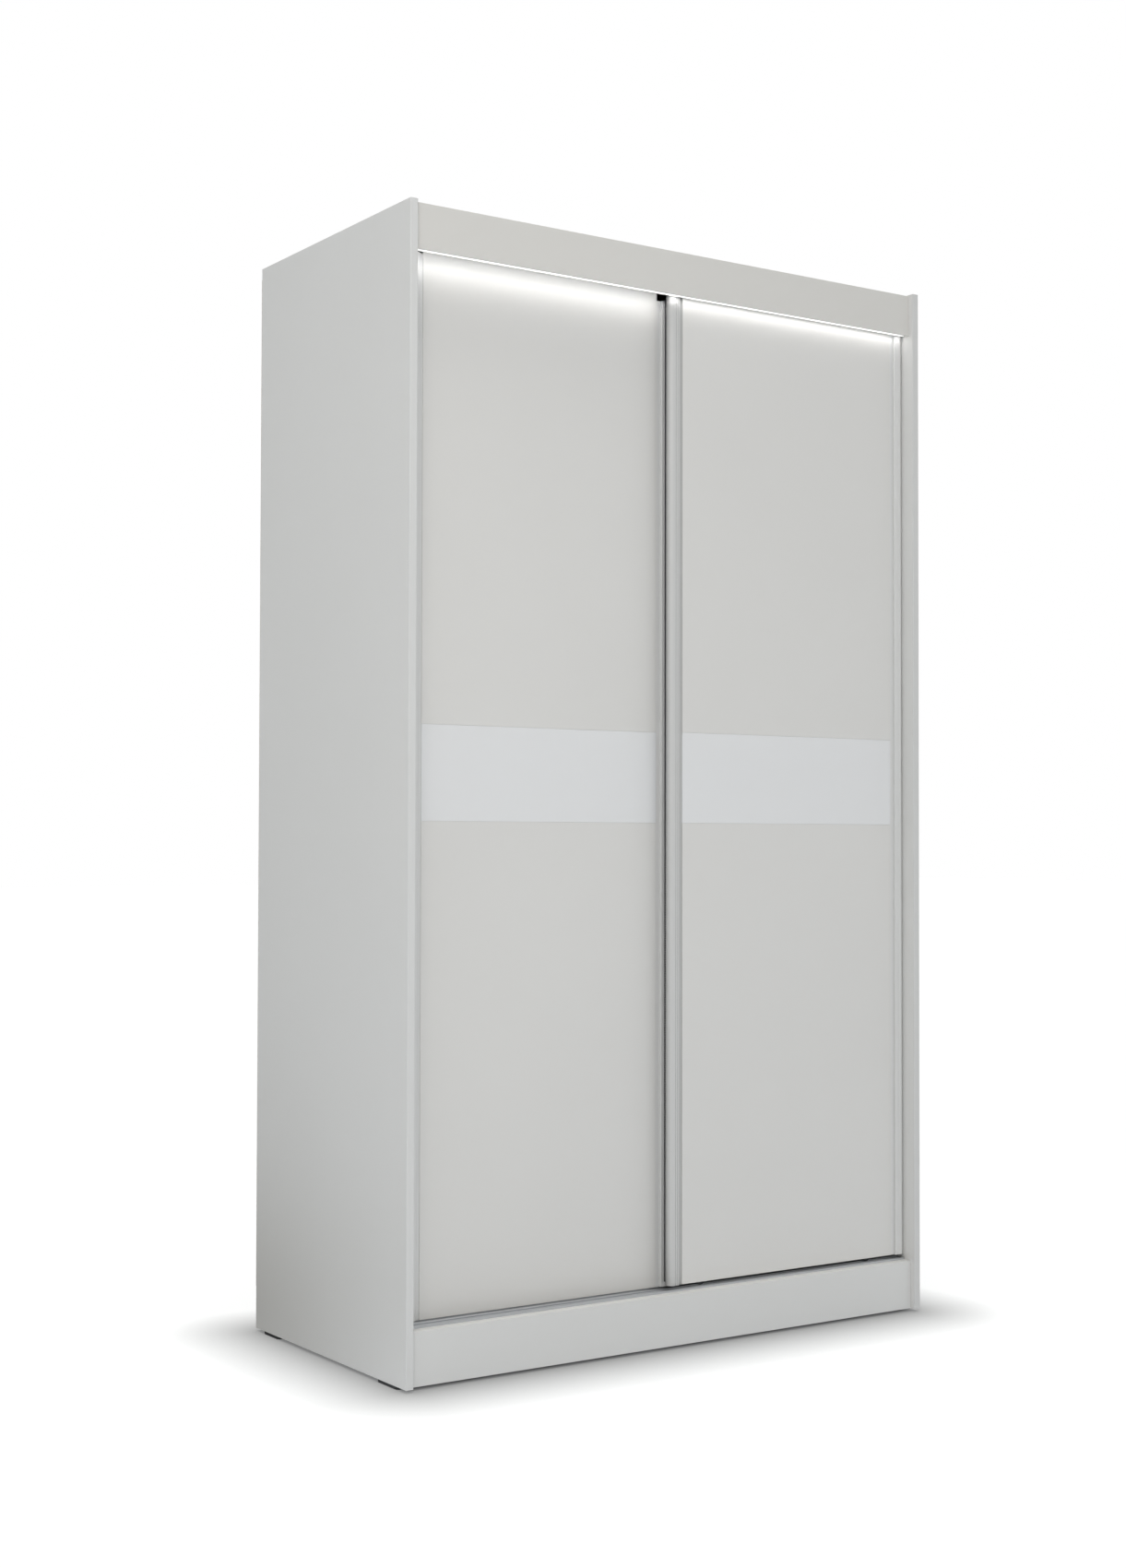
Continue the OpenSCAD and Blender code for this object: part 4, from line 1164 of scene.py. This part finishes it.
def make_floor(shown, bounced, dark, dark_at, reach):
    """A pale floor with a soft shade painted round the wardrobe's foot. Light that bounces
    off it sees a duller paint, and a dark patch round dark_at that keeps the rear foot of
    the left side in soft shade."""
    deselect()
    bpy.ops.mesh.primitive_plane_add(size=80)
    floor = bpy.context.object
    floor.name = "pale_floor"
    paint = make_finish("pale_floor_paint", shown, 0.8, 0.00001, pitch=60.0, drift=0.0, wear=0.0, dust=0.0,
                        Specular_IOR_Level=0.1)
    tree = paint.node_tree
    surface = tree.nodes["Principled BSDF"]
    seen = put(tree, "ShaderNodeLightPath").outputs["Is Camera Ray"]
    place = on_piece(tree)
    dull = blend_colour(tree, remap(tree, measure(tree, "DISTANCE", place, dark_at), 0.38, reach), dark, bounced)
    dim = tuple(0.2 * c for c in shown[:3]) + (1,)
    join(tree, blend_colour(tree, seen, dull, dim), surface.inputs["Base Color"])
    low, high = cad_box
    under = 30 * MM        # how far the shade starts inside the wardrobe's outline
    centre = (between(low.x, high.x), between(low.y, high.y), 0)
    half = ((high.x - low.x) / 2 - under, (high.y - low.y) / 2 - under, 0)
    fold = vectors(tree, "ABSOLUTE", vectors(tree, "SUBTRACT", place, centre))
    outside = vectors(tree, "MAXIMUM", vectors(tree, "SUBTRACT", fold, half))
    fade = remap(tree, measure(tree, "LENGTH", outside), 0, 0.21)
    shade = remap(tree, sums(tree, "POWER", fade, 0.75), 0, 1, 0.04, 0.80)
    join(tree, blend_colour(tree, seen, (0, 0, 0, 1), (0.99, 1.0, 1.0, 1)), surface.inputs["Emission Color"])
    join(tree, shade, surface.inputs["Emission Strength"])
    floor.data.materials.append(paint)


def add_lamp(kind, name, place, aim, power, colour=(1, 1, 1), **settings):
    deselect()
    bpy.ops.object.light_add(type=kind, location=place)
    lamp = bpy.context.object
    lamp.name = name
    lamp.rotation_euler = (Vector(aim) - Vector(place)).to_track_quat("-Z", "Y").to_euler()
    lamp.data.energy = power
    lamp.data.color = colour
    lamp.visible_camera = False
    for label, value in settings.items():
        setattr(lamp.data, label, value)


def make_sky(horizon, zenith):
    """An even studio sky that the camera sees as white."""
    world = bpy.data.worlds.new("studio_sky")
    bpy.context.scene.world = world
    world.use_nodes = True
    tree = world.node_tree
    tree.nodes.clear()
    place = put(tree, "ShaderNodeTexCoord")
    parts = put(tree, "ShaderNodeSeparateXYZ")
    join(tree, place.outputs["Generated"], parts.inputs[0])
    sky = blend_colour(tree, remap(tree, parts.outputs["Z"], 0, 1), horizon, zenith)
    rays = put(tree, "ShaderNodeLightPath")
    seen = blend_colour(tree, rays.outputs["Is Camera Ray"], sky, (1, 1, 1, 1))
    back = put(tree, "ShaderNodeBackground")
    join(tree, seen, back.inputs["Color"])
    end = put(tree, "ShaderNodeOutputWorld")
    join(tree, back.outputs[0], end.inputs["Surface"])


make_floor(shown=(0.965, 0.97, 0.975, 1), bounced=(0.645, 0.68, 0.735, 1), dark=(0.03, 0.03, 0.02, 1),
           dark_at=(-0.98, 0.79, 0), reach=1.05)
make_sky((0.40, 0.395, 0.38, 1), (0.60, 0.60, 0.585, 1))
add_lamp("SUN", "ceiling_light", (0, 0, 6), (0, 0, 0), 1.9, (1.0, 0.99, 0.965), angle=math.radians(45))
add_lamp("AREA", "side_light", (-2.6, -3.2, 2.9), (-0.3, -0.3, 1.2), 42, (1.0, 0.975, 0.935), size=1.5)
lens_low, lens_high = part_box("led_diffuser")
for name, start, stop, dip, power, spread in (("left_door_glow", lens_low.x, 0, 13, 0.078, 116),
                                              ("right_door_glow", 0, lens_high.x, 64, 0.064, 180)):
    place = Vector((between(start, stop), between(lens_low.y, lens_high.y), lens_low.z - 1.7 * MM))
    ahead = Vector((0, math.cos(math.radians(dip)), -math.sin(math.radians(dip))))
    add_lamp("AREA", name, place, place + ahead, power, (1.0, 0.99, 0.98), shape="RECTANGLE", size=stop - start,
             size_y=2 * MM, spread=math.radians(spread))

bpy.context.scene.view_settings.view_transform = "Standard"
bpy.context.scene.view_settings.look = "None"
